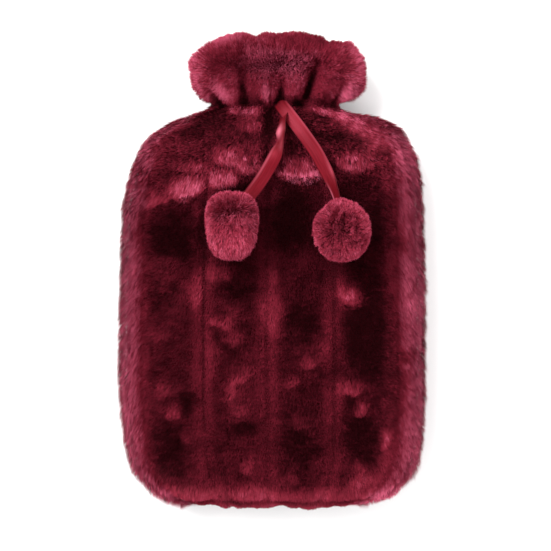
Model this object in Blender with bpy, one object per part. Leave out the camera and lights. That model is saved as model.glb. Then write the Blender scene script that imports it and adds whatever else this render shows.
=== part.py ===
"""Hot water bottle cover of plush fur cloth, gathered at the neck by a ribbon tie with pompoms.

The cover lies on its back on a flat surface. The origin is on that surface, under the
middle of the cloth: +X is to the right as seen from the front, +Y runs from the bottom
edge to the ruffle, and +Z is up, out of the front face. The sizes below are in
millimetres, and MM turns them into Blender's metres when a mesh is made.

The front and the back are two pieces of thick cloth, pile and hem included. Each is a loft
of closed sections: an outer arc, which is the tips of the pile, and an inner arc, which
is the hollow for the bottle. A place on a panel is given by `across`, from -1 at the left
seam to 1 at the right one, and by `along`, which is the same as y up to the gathered neck
and runs on to RIM at the crest of the ruffle.
"""

import math

import bmesh
import bpy
from mathutils import Matrix, Vector, noise

MM = 0.001

# ---- driving dimensions, in millimetres ----
BOTTOM = -185.0            # the bottom edge, so the cover is 370 long
NECK = 128.5               # the gather, where the tie draws the cloth in
RIM = 185.0                # the crest of the ruffle above it
RIM_CORNER = 163.0         # the ruffle's height where it meets the side seams
SEAM_HEIGHT = 30.0         # the side seams lie half way up the 60 mm depth
SEAM_GAP = 0.3             # the two panels' edges stand this far apart
EDGE_ROUND = 45.0          # the bottom edge rounds in over this length
CLOSED_BELOW = -171.0      # under this the two panels are sewn flat together
ARC_POWER = 2.7            # how square an outer section is: 2 is an ellipse
HOLLOW_POWER = 3.5         # the same for the hollow inside
EDGE_TUFT = 0.9            # how far the pile's tufts break the outline
RIM_TUFT = 2.2

# The silhouette: how far the cloth reaches from the middle line to the left and the right.
OUTLINE_COLUMNS = ("along", "left", "right")
OUTLINE = (
    (-185.0, 66.0, 70.0),
    (-181.0, 78.0, 83.0),
    (-175.0, 88.5, 94.0),
    (-165.0, 99.5, 104.5),
    (-152.0, 109.5, 113.0),
    (-133.0, 114.8, 117.6),
    (-105.0, 118.6, 119.3),
    (-80.0, 119.6, 119.6),
    (-7.0, 118.6, 119.6),
    (45.0, 117.0, 118.4),
    (77.0, 110.4, 115.4),
    (91.0, 105.3, 111.5),
    (100.5, 99.8, 107.6),
    (109.5, 90.8, 101.4),
    (114.5, 82.5, 96.0),
    (119.0, 74.5, 88.5),
    (123.5, 62.5, 76.0),
    (128.5, 49.5, 54.0),
    (135.5, 52.0, 61.5),
    (144.0, 57.5, 68.5),
    (154.0, 61.0, 72.5),
    (167.0, 63.0, 73.5),
    (176.0, 63.4, 71.5),
    (185.0, 62.0, 69.0),
)

# The filling out: the front's height over the seams, the back's depth under them, and the
# hollow's half width, its height over the seams and its depth under them.
FILL_COLUMNS = ("along", "front", "back", "hollow", "over", "under")
FILL = (
    (-171.0, 30.0, 33.0, 62.0, 0.0, 0.0),
    (-160.0, 30.0, 33.0, 88.0, 11.0, 12.0),
    (-140.0, 30.0, 33.0, 98.0, 15.0, 17.0),
    (-100.0, 30.0, 33.0, 104.0, 16.0, 18.0),
    (60.0, 30.0, 33.0, 104.0, 16.0, 18.0),
    (90.0, 28.5, 32.0, 88.0, 15.0, 17.0),
    (112.0, 26.0, 28.0, 58.0, 12.5, 14.0),
    (128.5, 22.5, 22.0, 31.0, 11.0, 12.0),
    (144.0, 28.0, 28.5, 40.0, 12.0, 12.0),
    (163.0, 30.0, 31.0, 46.0, 13.0, 13.0),
    (178.0, 25.0, 26.0, 47.0, 13.0, 13.0),
    (185.0, 18.0, 18.5, 47.0, 13.0, 13.0),
)

# Lines sculpted down the pile, by their place across the width, and the parting that runs
# along the side seams.
PILE_LINES = (-0.846, -0.438, -0.030, 0.398, 0.813)
LINE_DEPTH = 2.4
LINE_HALF_WIDTH = 0.050
LINES_FADE = (70.0, 100.0)
PARTING = 0.935
PARTING_DEPTH = 1.8
PARTING_HALF_WIDTH = 0.030
CROWN_RISE = 0.9
LUMP_RISE = 1.4
LUMP_SIZE = 34.0

# Folds that the gather makes: their place across at the rim, at the neck and at their lower
# end, how deep they are at the neck, and how far they run down the shoulders.
FOLD_COLUMNS = ("rim", "neck", "lower", "depth", "run")
FOLDS = (
    (-0.80, -0.70, -0.82, 7.0, 34.0),
    (-0.40, -0.34, -0.46, 5.5, 44.0),
    (0.12, 0.02, -0.04, 6.5, 62.0),
    (0.52, 0.42, 0.36, 7.0, 36.0),
    (0.80, 0.73, 0.72, 5.0, 30.0),
)
FOLD_HALF_WIDTH = 0.105
FOLD_AT_RIM = 0.35

# Dents in the ruffle's crest: place across, half width across, depth.
CREST_DENTS = (
    (-0.19, 0.07, 2.5),
    (0.62, 0.05, 4.5),
)

# ---- the tie: a flat satin ribbon, two tails, each with a pompom ----
RIBBON_WIDTH = 10.5
RIBBON_THICKNESS = 0.8
RIBBON_STEPS = 30

# Each tail's route from the neck to its pompom: the middle of the ribbon, and its turn
# about its own length in degrees, 0 where its face looks straight up.
RIBBON_ROUTES = {
    "ribbon_right": (
        # x, y, z, turn
        (6.0, 127.6, 54.2, 10.0),
        (21.5, 107.3, 60.2, 6.0),
        (33.0, 90.7, 62.4, 8.0),
        (41.8, 74.1, 63.8, 24.0),
        (46.5, 62.6, 67.0, 55.0),
        (49.9, 51.2, 72.7, 68.0),
    ),
    "ribbon_left": (
        # x, y, z, turn
        (2.4, 121.2, 55.2, 80.0),
        (5.2, 114.2, 59.6, 72.0),
        (6.8, 105.5, 62.0, 46.0),
        (6.4, 97.5, 64.0, 62.0),
        (2.6, 87.2, 63.6, 14.0),
        (-3.4, 76.4, 63.8, -8.0),
        (-10.2, 65.6, 66.0, -14.0),
        (-18.4, 54.6, 71.7, -24.0),
    ),
}

# ---- the pompoms ----
POMPOM_CUTS = 3            # cuts along a cube's edge, so 4 by 4 locks on each of its sides
POMPOM_CORE = 0.78         # the core's size as a share of the pompom's
LOCK_PARTING = 0.55        # half the gap between two locks' roots
LOCK_TAPER = 0.72          # a lock's tip as a share of its root
LOCK_UNEVEN = 0.07
REST_GAP = 1.5             # the lower locks stay this far over the front panel
ENTRY_CONE = 0.86          # locks nearer than this cosine to the ribbon's end are cut short

POMPOMS = {
    "pompom_left": {
        "centre": (-29.5, 35.0, 80.0),
        "half": (21.8, 26.8, 20.5),
        "power": 2.7,
        "comb": -3.0,
        "ribbon": "ribbon_left",
    },
    "pompom_right": {
        "centre": (52.9, 31.9, 80.5),
        "half": (24.8, 25.2, 21.0),
        "power": 2.1,
        "comb": 0.0,
        "ribbon": "ribbon_right",
    },
}


# ---------------------------------------------------------------- reading the tables

def read(table, columns, column, along):
    """A column's value at a place along the cloth, on a smooth curve through the rows."""
    index = columns.index(column)
    if along <= table[0][0]:
        return table[0][index]
    if along >= table[-1][0]:
        return table[-1][index]
    upper = next(k for k, row in enumerate(table) if row[0] >= along)
    before, after = table[upper - 1], table[upper]
    span = after[0] - before[0]
    rise = (after[index] - before[index]) / span

    def slope(k):
        if k in (0, len(table) - 1):
            return rise
        left, here, right = table[k - 1], table[k], table[k + 1]
        first = (here[index] - left[index]) / (here[0] - left[0])
        second = (right[index] - here[index]) / (right[0] - here[0])
        if first * second <= 0.0:
            return 0.0
        return 2.0 * first * second / (first + second)

    share = (along - before[0]) / span
    start, end = slope(upper - 1) * span, slope(upper) * span
    return (
        (2 * share**3 - 3 * share**2 + 1) * before[index]
        + (share**3 - 2 * share**2 + share) * start
        + (3 * share**2 - 2 * share**3) * after[index]
        + (share**3 - share**2) * end
    )


def outline(side, along):
    return read(OUTLINE, OUTLINE_COLUMNS, side, along)


def fill(column, along):
    return read(FILL, FILL_COLUMNS, column, along)


def ease(low, high, value):
    """0 below low, 1 above high, and a smooth step between them."""
    share = min(1.0, max(0.0, (value - low) / (high - low)))
    return share * share * (3.0 - 2.0 * share)


def bump(distance, half_width):
    return math.exp(-((distance / half_width) ** 2))


def arc(across, power):
    """A section's height at a place across it, as a share of its full height."""
    return max(0.0, 1.0 - abs(across) ** power) ** (1.0 / power)


# ---------------------------------------------------------------- the panels' form

def crest(across):
    """The ruffle's upper edge: y at a place across it."""
    height = RIM_CORNER + (RIM - RIM_CORNER) * math.sqrt(max(0.0, 1.0 - abs(across) ** 3))
    for place, half_width, depth in CREST_DENTS:
        height -= depth * bump(across - place, half_width)
    return height


def y_of(across, along):
    if along <= NECK:
        return along
    return NECK + (crest(across) - NECK) * (along - NECK) / (RIM - NECK)


def bottom_rounding(along):
    """How full a section near the bottom edge is, from about 0.1 at the edge to 1."""
    distance = (along - BOTTOM) / EDGE_ROUND
    if distance >= 1.0:
        return 1.0
    return max(0.1, arc(1.0 - distance, ARC_POWER))


def fold_relief(across, along):
    """The gather's folds, deepest at the neck."""
    depth = 0.0
    for rim, neck, lower, deepest, run in FOLDS:
        if along > NECK:
            share = (along - NECK) / (RIM - NECK)
            place = neck + (rim - neck) * share
            strength = 1.0 - (1.0 - FOLD_AT_RIM) * share
        else:
            share = min(1.0, (NECK - along) / run)
            place = neck + (lower - neck) * share
            strength = (1.0 - share) ** 1.5
        depth += deepest * strength * bump(across - place, FOLD_HALF_WIDTH)
    return -depth


def pile_relief(across, along):
    """The sculpted lines, the crowns between them, the partings and the soft lumps."""
    relief = 0.0
    lines = 1.0 - ease(*LINES_FADE, along)
    for place in PILE_LINES:
        relief -= LINE_DEPTH * lines * bump(across - place, LINE_HALF_WIDTH)
    pitch = PILE_LINES[1] - PILE_LINES[0]
    phase = (across - PILE_LINES[0]) / pitch
    relief += CROWN_RISE * lines * 0.5 * (1.0 - math.cos(2.0 * math.pi * phase))
    side_parting = bump(abs(across) - PARTING, PARTING_HALF_WIDTH)
    bottom_parting = bump((along - BOTTOM - 10.0) / 100.0, PARTING_HALF_WIDTH)
    relief -= PARTING_DEPTH * max(side_parting * (along < NECK), bottom_parting)
    place = Vector((across * 119.0, along, 0.0)) / LUMP_SIZE
    return relief + LUMP_RISE * noise.noise(place)


def outer_point(face, across, along, tuft=0.0):
    """A point of the pile's tips on the front (face 1) or the back (face -1), in mm."""
    half = outline("left" if across < 0.0 else "right", along) + tuft * abs(across) ** 12
    height = fill("front" if face > 0 else "back", along)
    height *= bottom_rounding(along) * arc(across, ARC_POWER)
    relief = fold_relief(across, along)
    if face > 0:
        relief += pile_relief(across, along)
    inside = (1.0 - abs(across) ** 10) * ease(0.0, 14.0, height)
    height = max(height * 0.5, height + relief * inside)
    z = SEAM_HEIGHT + face * (SEAM_GAP / 2.0 + height)
    return Vector((half * across, y_of(across, along), max(0.0, z)))


def inner_point(face, across, along):
    """A point of the hollow's wall: flat on the seam's plane where the panels are closed."""
    half = min(fill("hollow", along), outline("left", along) - 12.0)
    height = 0.0
    if along > CLOSED_BELOW:
        height = fill("over" if face > 0 else "under", along) * arc(across, HOLLOW_POWER)
    z = SEAM_HEIGHT + face * (SEAM_GAP / 2.0 + height)
    return Vector((half * across, y_of(across * 0.72, along), z))


def columns_across():
    """Places across a section: at each line and its flanks, between them, and at the seams."""
    places = [-1.0, -0.993, -0.978, -0.958, -PARTING, -0.900]
    for left, right in zip(PILE_LINES, PILE_LINES[1:]):
        width = right - left
        places += [left + width * share for share in (0.0, 0.14, 0.30, 0.50, 0.70, 0.86)]
    places += [PILE_LINES[-1], 0.868, 0.905, PARTING, 0.965, 0.987, 1.0]
    return places


def rows_along():
    """Places along the cloth: close at the bottom edge, the shoulders, the neck and the rim."""
    flat_start, flat_end = BOTTOM + EDGE_ROUND, 88.0
    bottom = [BOTTOM + EDGE_ROUND * (1.0 - math.cos(math.pi / 2 * k / 8)) for k in range(8)]
    body = [flat_start + (flat_end - flat_start) * k / 15 for k in range(15)]
    shoulders = [flat_end + (NECK - flat_end) * math.sin(math.pi / 2 * k / 8) for k in range(8)]
    ruffle = [NECK + (RIM - NECK) * 0.92 * k / 9 for k in range(10)]
    return bottom + body + shoulders + ruffle + [RIM]


def rings_to_mesh(name, rings, outer_count):
    """A closed skin over rings of points. Each ring is an outer arc and then an inner one."""
    mesh_points = bmesh.new()
    rows = [[mesh_points.verts.new(point * MM) for point in ring] for ring in rings]
    count = len(rows[0])
    for lower, upper in zip(rows, rows[1:]):
        for k in range(count):
            after = (k + 1) % count
            mesh_points.faces.new((lower[k], lower[after], upper[after], upper[k]))
    step = (outer_count - 1) // (count - outer_count - 1)
    for row in (rows[0], rows[-1]):
        outer = row[:outer_count]
        inner = row[outer_count:][::-1]
        for k in range(len(inner) - 1):
            strip = outer[k * step:(k + 1) * step + 1]
            mesh_points.faces.new(strip + [inner[k + 1], inner[k]])
    bmesh.ops.recalc_face_normals(mesh_points, faces=mesh_points.faces)
    mesh = bpy.data.meshes.new(name)
    mesh_points.to_mesh(mesh)
    mesh_points.free()
    return mesh


def panel_mesh(name, face, places):
    """One panel: every section's outer arc, left to right, and its inner arc, right to left."""
    rings = []
    for number, along in enumerate(rows_along()):
        tuft = EDGE_TUFT * (1 if number % 2 else -1)
        if along >= RIM:
            tuft = 0.0
        outer = []
        for k, across in enumerate(places):
            point = outer_point(face, across, along, tuft)
            if along >= RIM and k % 2:
                point.y -= RIM_TUFT
            outer.append(point)
        inner = [inner_point(face, across, along) for across in places[::2]]
        rings.append(outer + inner[::-1])
    return rings_to_mesh(name, rings, len(places))


def front_height(x, y):
    """The front panel's height over the surface at a point below the neck."""
    side = "left" if x < 0.0 else "right"
    return outer_point(1, x / outline(side, y), y).z


# ---------------------------------------------------------------- the ribbon and the pompoms

def smooth_route(points, steps):
    """Points evenly numbered along a Catmull-Rom curve through a route's own points."""
    rows = [Vector(point) for point in points]
    rows = [rows[0] * 2 - rows[1]] + rows + [rows[-1] * 2 - rows[-2]]
    spans = len(points) - 1
    route = []
    for number in range(steps + 1):
        at = spans * number / steps
        k = min(int(at), spans - 1)
        share = at - k
        a, b, c, d = rows[k:k + 4]
        route.append(0.5 * (
            2 * b + (c - a) * share + (2 * a - 5 * b + 4 * c - d) * share**2
            + (3 * b - a - 3 * c + d) * share**3
        ))
    return route


def ribbon(name, section):
    """A tail of the tie: a curve that carries the ribbon's flat section, turned as it lies."""
    curve = bpy.data.curves.new(name, "CURVE")
    curve.dimensions = "3D"
    curve.twist_mode = "Z_UP"
    curve.bevel_mode = "OBJECT"
    curve.bevel_object = section
    curve.use_fill_caps = True
    spline = curve.splines.new("POLY")
    route = smooth_route([Vector(row) for row in RIBBON_ROUTES[name]], RIBBON_STEPS)
    spline.points.add(len(route) - 1)
    for point, place in zip(spline.points, route):
        point.co = (place[0] * MM, place[1] * MM, place[2] * MM, 1.0)
        point.tilt = math.radians(place[3])
    return bpy.data.objects.new(name, curve)


def ribbon_section():
    """The ribbon's cross-section, a flat rectangle that the tails' curves carry along."""
    curve = bpy.data.curves.new("ribbon_section", "CURVE")
    curve.dimensions = "2D"
    spline = curve.splines.new("POLY")
    spline.use_cyclic_u = True
    spline.points.add(3)
    half_width, half_thick = RIBBON_WIDTH * MM / 2, RIBBON_THICKNESS * MM / 2
    corners = ((-1, -1), (-1, 1), (1, 1), (1, -1))
    for point, (sx, sy) in zip(spline.points, corners):
        point.co = (sx * half_width, sy * half_thick, 0.0, 1.0)
    section = bpy.data.objects.new("ribbon_section", curve)
    section.hide_render = True
    section.display_type = "WIRE"
    return section


def pompom_radius(direction, half, power):
    """The distance from a pompom's middle to its outside, in a direction."""
    total = sum(abs(part / size) ** power for part, size in zip(direction, half))
    return total ** (-1.0 / power)


def pompom_mesh(name, centre, half, power, comb, ribbon):
    """A core with its locks: each face of a rounded cube grows one lock of four sides."""
    centre = Vector(centre)
    entry = (Vector(RIBBON_ROUTES[ribbon][-1][:3]) - centre).normalized()
    ball = bmesh.new()
    bmesh.ops.create_cube(ball, size=2.0)
    bmesh.ops.subdivide_edges(ball, edges=ball.edges[:], cuts=POMPOM_CUTS, use_grid_fill=True)
    for vertex in ball.verts:
        evened = Vector([math.tan(part * math.pi / 4) for part in vertex.co])
        direction = evened.normalized()
        vertex.co = direction * pompom_radius(direction, half, power) * POMPOM_CORE
    roots = ball.faces[:]
    bmesh.ops.inset_individual(ball, faces=roots, thickness=LOCK_PARTING)
    grown = bmesh.ops.extrude_discrete_faces(ball, faces=roots)["faces"]
    for tip in grown:
        middle = tip.calc_center_median()
        direction = middle.normalized()
        reach = pompom_radius(direction, half, power)
        reach *= 1.0 + LOCK_UNEVEN * noise.noise(direction * 9.0 + centre)
        goal = direction * reach
        goal.y += comb * (1.0 - abs(direction.y))
        if direction.dot(entry) > ENTRY_CONE:
            goal = direction * (middle.length + 0.8)
        for vertex in tip.verts:
            vertex.co = goal + (vertex.co - middle) * LOCK_TAPER * goal.length / middle.length
    bmesh.ops.translate(ball, verts=ball.verts, vec=centre)
    for vertex in ball.verts:
        floor = front_height(vertex.co.x, vertex.co.y) + REST_GAP
        vertex.co.z = max(vertex.co.z, floor)
    bmesh.ops.recalc_face_normals(ball, faces=ball.faces)
    bmesh.ops.transform(ball, matrix=Matrix.Scale(MM, 4), verts=ball.verts)
    mesh = bpy.data.meshes.new(name)
    ball.to_mesh(mesh)
    ball.free()
    return mesh


# ---------------------------------------------------------------- materials and assembly

def material(name, colour, roughness):
    """A Principled material in one colour."""
    made = bpy.data.materials.new(name)
    made.use_nodes = True
    shader = made.node_tree.nodes["Principled BSDF"]
    shader.inputs["Base Color"].default_value = (*colour, 1.0)
    shader.inputs["Roughness"].default_value = roughness
    shader.inputs["Metallic"].default_value = 0.0
    return made


def clear_scene():
    for item in list(bpy.data.objects):
        bpy.data.objects.remove(item, do_unlink=True)


def new_collection(name):
    made = bpy.data.collections.new(name)
    bpy.context.scene.collection.children.link(made)
    return made


def build():
    clear_scene()
    cover = new_collection("hot_water_bottle_cover")
    guides = new_collection("guides")

    front_fur = material("fur_front", (0.085, 0.010, 0.017), 0.85)
    back_fur = material("fur_back", (0.080, 0.010, 0.016), 0.85)
    satin = material("satin_ribbon", (0.280, 0.026, 0.045), 0.35)
    pompom_fur = material("fur_pompom", (0.200, 0.022, 0.040), 0.85)

    places = columns_across()
    panels = (
        ("front_panel", 1, places, front_fur),
        ("back_panel", -1, places[::2], back_fur),
    )
    for name, face, across, finish in panels:
        mesh = panel_mesh(name, face, across)
        mesh.shade_smooth()
        mesh.set_sharp_from_angle(angle=math.radians(50))
        mesh.materials.append(finish)
        cover.objects.link(bpy.data.objects.new(name, mesh))

    section = ribbon_section()
    guides.objects.link(section)
    for name in RIBBON_ROUTES:
        tail = ribbon(name, section)
        tail.data.materials.append(satin)
        cover.objects.link(tail)

    for name, shape in POMPOMS.items():
        mesh = pompom_mesh(name, **shape)
        mesh.materials.append(pompom_fur)
        cover.objects.link(bpy.data.objects.new(name, mesh))


build()
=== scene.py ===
# %% [markdown]
# # A plush hot water bottle cover
#
# The real cover is two pieces of long-piled fur cloth, sewn together along the sides and the
# bottom, drawn in at the neck by a satin ribbon and left open above it as a ruffle. Each end of
# the ribbon carries a fur pompom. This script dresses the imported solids: it grows real pile on
# thin cloth, lays the ribbon's two tails, and builds the pompoms hair by hair.
#
# Sizes are in millimetres in the tables and turned into metres as each mesh is made. The cover
# lies on its back: +X is to the right, +Y runs up to the ruffle, and +Z is up, out of the front.

# %% The frame
import math

import bpy
import numpy as np
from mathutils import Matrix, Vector, noise


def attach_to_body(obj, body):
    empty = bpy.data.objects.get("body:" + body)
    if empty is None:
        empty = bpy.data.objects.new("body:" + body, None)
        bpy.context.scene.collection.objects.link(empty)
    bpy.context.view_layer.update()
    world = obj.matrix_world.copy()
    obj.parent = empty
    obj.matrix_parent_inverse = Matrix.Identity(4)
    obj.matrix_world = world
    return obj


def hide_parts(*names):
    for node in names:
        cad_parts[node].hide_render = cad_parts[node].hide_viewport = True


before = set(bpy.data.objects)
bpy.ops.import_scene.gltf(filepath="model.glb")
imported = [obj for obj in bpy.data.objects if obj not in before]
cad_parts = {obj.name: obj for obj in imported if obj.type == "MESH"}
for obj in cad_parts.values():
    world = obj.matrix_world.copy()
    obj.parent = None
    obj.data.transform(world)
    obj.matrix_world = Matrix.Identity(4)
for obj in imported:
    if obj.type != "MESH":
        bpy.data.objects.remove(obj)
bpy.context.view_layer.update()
MM = 0.001

# %% [markdown]
# ## Camera
#
# The photograph looks straight down on the cover from above, with its length upright in the
# picture. A long lens from well over a metre away keeps the sides nearly parallel, as a
# product photograph does. The height is worked out from how wide a strip of the table the
# square picture takes in.

# %% Camera
PICTURE_WIDTH = 428.3      # what the square picture spans at the height of the side seams
PICTURE_MIDDLE = (2.8, -3.5)
SEAM_HEIGHT = 30.0
LENS = 100.0               # on the camera's own 36 mm sensor
SENSOR = 36.0

camera = bpy.data.objects.new("camera", bpy.data.cameras.new("camera"))
camera.data.lens = LENS
camera.data.sensor_width = SENSOR
distance = PICTURE_WIDTH * LENS / SENSOR
camera.location = (PICTURE_MIDDLE[0] * MM, PICTURE_MIDDLE[1] * MM, (SEAM_HEIGHT + distance) * MM)
bpy.context.scene.collection.objects.link(camera)
bpy.context.scene.camera = camera
print("camera height, in mm:", round(SEAM_HEIGHT + distance, 1))

# %% [markdown]
# ## The ribbon's tails
#
# The tie is one length of 10 mm satin ribbon through the neck. Its two tails come out under the
# ruffle, cross the fur and end in the pompoms. A ribbon is flat and limp: it turns about its own
# length as it hangs, so each point of its route has a turn as well as a place. The route is the
# same short list that the solids use, but for its first points: real pile can be parted, so here
# the tails start deeper in it. It is read through a smooth curve.

# %% The ribbon's routes
RIBBON_WIDTH = 10.5
RIBBON_ROUTES = {
    "ribbon_right": (
        # x, y, z, turn in degrees
        (5.2, 130.6, 41.0, 10.0),
        (9.6, 123.6, 52.8, 10.0),
        (21.5, 107.3, 60.2, 6.0),
        (33.0, 90.7, 62.4, 8.0),
        (41.8, 74.1, 63.8, 24.0),
        (46.5, 62.6, 67.0, 55.0),
        (49.9, 51.2, 72.7, 68.0),
    ),
    "ribbon_left": (
        # x, y, z, turn in degrees
        (9.6, 119.5, 50.5, 62.0),
        (7.9, 113.0, 57.6, 66.0),
        (6.8, 105.5, 61.6, 50.0),
        (6.4, 97.5, 64.0, 62.0),
        (2.6, 87.2, 63.6, 14.0),
        (-3.4, 76.4, 63.8, -8.0),
        (-10.2, 65.6, 66.0, -14.0),
        (-18.4, 54.6, 71.7, -24.0),
    ),
}
RIBBON_STEPS = 96


def smooth_route(points, steps):
    """Points along a Catmull-Rom curve through a route's own points, as rows of an array."""
    rows = np.array(points, float)
    rows = np.vstack([2 * rows[0] - rows[1], rows, 2 * rows[-1] - rows[-2]])
    spans = len(points) - 1
    at = spans * np.arange(steps + 1) / steps
    k = np.minimum(at.astype(int), spans - 1)
    share = (at - k)[:, None]
    a, b, c, d = (rows[k + step] for step in range(4))
    return 0.5 * (
        2 * b + (c - a) * share + (2 * a - 5 * b + 4 * c - d) * share**2
        + (3 * b - a - 3 * c + d) * share**3
    )


def unit(vectors):
    return vectors / np.maximum(np.linalg.norm(vectors, axis=-1, keepdims=True), 1e-9)


routes = {name: smooth_route(points, RIBBON_STEPS) for name, points in RIBBON_ROUTES.items()}

# %% [markdown]
# ## A ribbon is a woven strip
#
# Satin ribbon is 0.4 to 0.5 mm thick with a slightly thicker edge on each side, where the weft
# turns back. A curve with a flat bevel would give a hard-edged bar. A strip lofted by hand can
# carry the soft crown across its width, the raised edges, and a UV map that runs along it, which
# the weave needs.

# %% Ribbon mesh
RIBBON_THICKNESS = 0.5
EDGE_RIB = 0.18            # how far the woven edge stands over the face
RIBBON_CROWN = 0.35        # the soft rise in the middle of the width
RIBBON_COLUMNS = 16


def grid_faces(rows, columns, first=0, closed=False):
    """The quads of a grid of points that is stored row by row."""
    faces = []
    for row in range(rows - 1):
        for column in range(columns if closed else columns - 1):
            after = (column + 1) % columns
            low, high = first + row * columns, first + (row + 1) * columns
            faces.append((low + column, low + after, high + after, high + column))
    return faces


def plain_object(name, points, faces):
    """A mesh object at the origin, from points in millimetres."""
    mesh = bpy.data.meshes.new(name)
    mesh.from_pydata((np.asarray(points) * MM).tolist(), [], faces)
    mesh.update()
    made = bpy.data.objects.new(name, mesh)
    bpy.context.scene.collection.objects.link(made)
    return made


def bump(distance, half_width):
    return np.exp(-((distance / half_width) ** 2))


def store(mesh, name, values, kind="FLOAT_VECTOR"):
    """Writes one value for each point of a mesh as a named attribute."""
    made = mesh.attributes.new(name, kind, "POINT")
    field = "value" if kind == "FLOAT" else "vector"
    made.data.foreach_set(field, np.asarray(values, np.float32).ravel())


def ribbon_profile():
    """The closed section of a ribbon: (place across, height, v) with u from -1 to 1."""
    u = np.linspace(-1.0, 1.0, RIBBON_COLUMNS)
    rise = RIBBON_CROWN * (1.0 - u**2)
    rib = EDGE_RIB * np.exp(-(((np.abs(u) - 0.95) / 0.05) ** 2))
    top = np.stack([u * RIBBON_WIDTH / 2, rise + RIBBON_THICKNESS / 2 + rib], axis=1)
    under = np.stack([u * RIBBON_WIDTH / 2, rise - RIBBON_THICKNESS / 2 - rib], axis=1)
    return np.vstack([top, under[::-1]]), np.concatenate([u, u[::-1]])


PAINTED_HIGHLIGHTS = {
    "ribbon_right": (
        # painted highlights: place along the tail, half length, place across from -1 to 1, half
        # width, strength
        (0.35, 0.26, -0.82, 0.10, 0.20),
        (0.30, 0.20, 0.10, 0.55, 0.07),
        (0.92, 0.12, 0.78, 0.16, 0.75),
        (0.66, 0.08, -0.70, 0.20, 0.16),
    ),
    "ribbon_left": (
        (0.27, 0.09, 0.30, 0.60, 0.85),
        (0.70, 0.22, 0.76, 0.16, 0.28),
        (0.46, 0.06, -0.50, 0.40, 0.10),
    ),
}


def painted_highlight(rows, share, side):
    """How much highlight is painted at each place on a tail, from 0 to 1."""
    total = np.zeros(np.broadcast(share, side).shape)
    for place, half_share, across, half_side, strength in rows:
        total = total + strength * bump(share - place, half_share) * bump(side - across, half_side)
    return np.clip(total, 0.0, 1.0)


def ribbon_piece(name, route, shines):
    """One tail as a closed strip with end caps, a UV map in metres and its painted highlights."""
    profile, u = ribbon_profile()
    places, turns = route[:, :3], np.radians(route[:, 3])
    tangents = unit(np.gradient(places, axis=0))
    level = unit(np.cross(tangents, [0.0, 0.0, 1.0]))
    upright = np.cross(level, tangents)
    side = level * np.cos(turns)[:, None] - upright * np.sin(turns)[:, None]
    face = np.cross(side, tangents)
    points = (
        places[:, None, :] + side[:, None, :] * profile[None, :, :1]
        + face[:, None, :] * profile[None, :, 1:]
    )
    count = len(profile)
    faces = grid_faces(len(route), count, closed=True)
    faces.append(tuple(range(count)))
    faces.append(tuple(range(len(route) * count - 1, (len(route) - 1) * count - 1, -1)))
    made = plain_object(name, points.reshape(-1, 3), faces)
    run = np.concatenate([[0.0], np.cumsum(np.linalg.norm(np.diff(places, axis=0), axis=1))])
    flat = np.stack([
        np.tile(u * RIBBON_WIDTH / 2, len(route)), np.repeat(run, count)
    ], axis=1) * MM
    layer = made.data.uv_layers.new(name="UVMap")
    corners = np.zeros(len(made.data.loops), int)
    made.data.loops.foreach_get("vertex_index", corners)
    layer.data.foreach_set("uv", flat[corners].astype(np.float32).ravel())
    # the painted highlights, kept as an attribute for the satin's colour
    lit = painted_highlight(shines, np.linspace(0.0, 1.0, len(route))[:, None], u[None, :])
    store(made.data, "painted_highlight", lit, "FLOAT")
    made.data.shade_smooth()
    made.data.set_sharp_from_angle(angle=math.radians(60))
    return made


ribbons = {
    name: ribbon_piece(name + "_satin", route, PAINTED_HIGHLIGHTS[name]) for name, route in routes.items()
}
print("ribbon faces:", {name: len(piece.data.polygons) for name, piece in ribbons.items()})

# %% [markdown]
# ## The cover's form
#
# The solids were worked out from two short tables: how far the cloth reaches to the left and the
# right, and how far it is filled out. The outline, the fill and the five folds are the same here,
# though the folds fade sooner towards the rim. The narrow creases, the foot's dents and swells
# and the crest's last row are the pile's own. A place on a panel is `across`, from -1 at the
# left seam to 1 at the right one, and `along`, which is y up to the neck and runs on to the crest.

# %% Driving sizes and tables
BOTTOM = -185.0
NECK = 128.5
RIM = 185.0
RIM_CORNER = 163.0
SEAM_GAP = 0.3
EDGE_ROUND = 45.0
ARC_POWER = 2.7

OUTLINE_COLUMNS = ("along", "left", "right")
OUTLINE = (
    (-185.0, 66.0, 70.0),
    (-181.0, 78.0, 83.0),
    (-175.0, 88.5, 94.0),
    (-165.0, 99.5, 104.5),
    (-152.0, 109.5, 113.0),
    (-133.0, 114.8, 117.6),
    (-105.0, 118.6, 119.3),
    (-80.0, 119.6, 119.6),
    (-7.0, 118.6, 119.6),
    (45.0, 117.0, 118.4),
    (77.0, 110.4, 115.4),
    (91.0, 105.3, 111.5),
    (100.5, 99.8, 107.6),
    (109.5, 90.8, 101.4),
    (114.5, 82.5, 96.0),
    (119.0, 74.5, 88.5),
    (123.5, 62.5, 76.0),
    (128.5, 49.5, 54.0),
    (135.5, 52.0, 61.5),
    (144.0, 57.5, 68.5),
    (154.0, 61.0, 72.5),
    (167.0, 63.0, 73.5),
    (176.0, 63.4, 71.5),
    (185.0, 62.0, 69.0),
)
FILL_COLUMNS = ("along", "front", "back")
FILL = (
    (-171.0, 30.0, 33.0),
    (60.0, 30.0, 33.0),
    (90.0, 28.5, 32.0),
    (112.0, 26.0, 28.0),
    (128.5, 22.5, 22.0),
    (144.0, 28.0, 28.5),
    (163.0, 30.0, 31.0),
    (178.0, 25.0, 26.0),
    (185.0, 18.0, 18.5),
)
FOLDS = (
    # place at the rim, at the neck and at the lower end, depth, run down the shoulders
    (-0.80, -0.70, -0.82, 7.0, 34.0),
    (-0.40, -0.34, -0.46, 5.5, 44.0),
    (0.12, 0.02, -0.04, 6.5, 62.0),
    (0.52, 0.42, 0.36, 7.0, 36.0),
    (0.80, 0.73, 0.72, 5.0, 30.0),
)
FOLD_HALF_WIDTH = 0.105
FOLD_AT_RIM = 0.12
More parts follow.
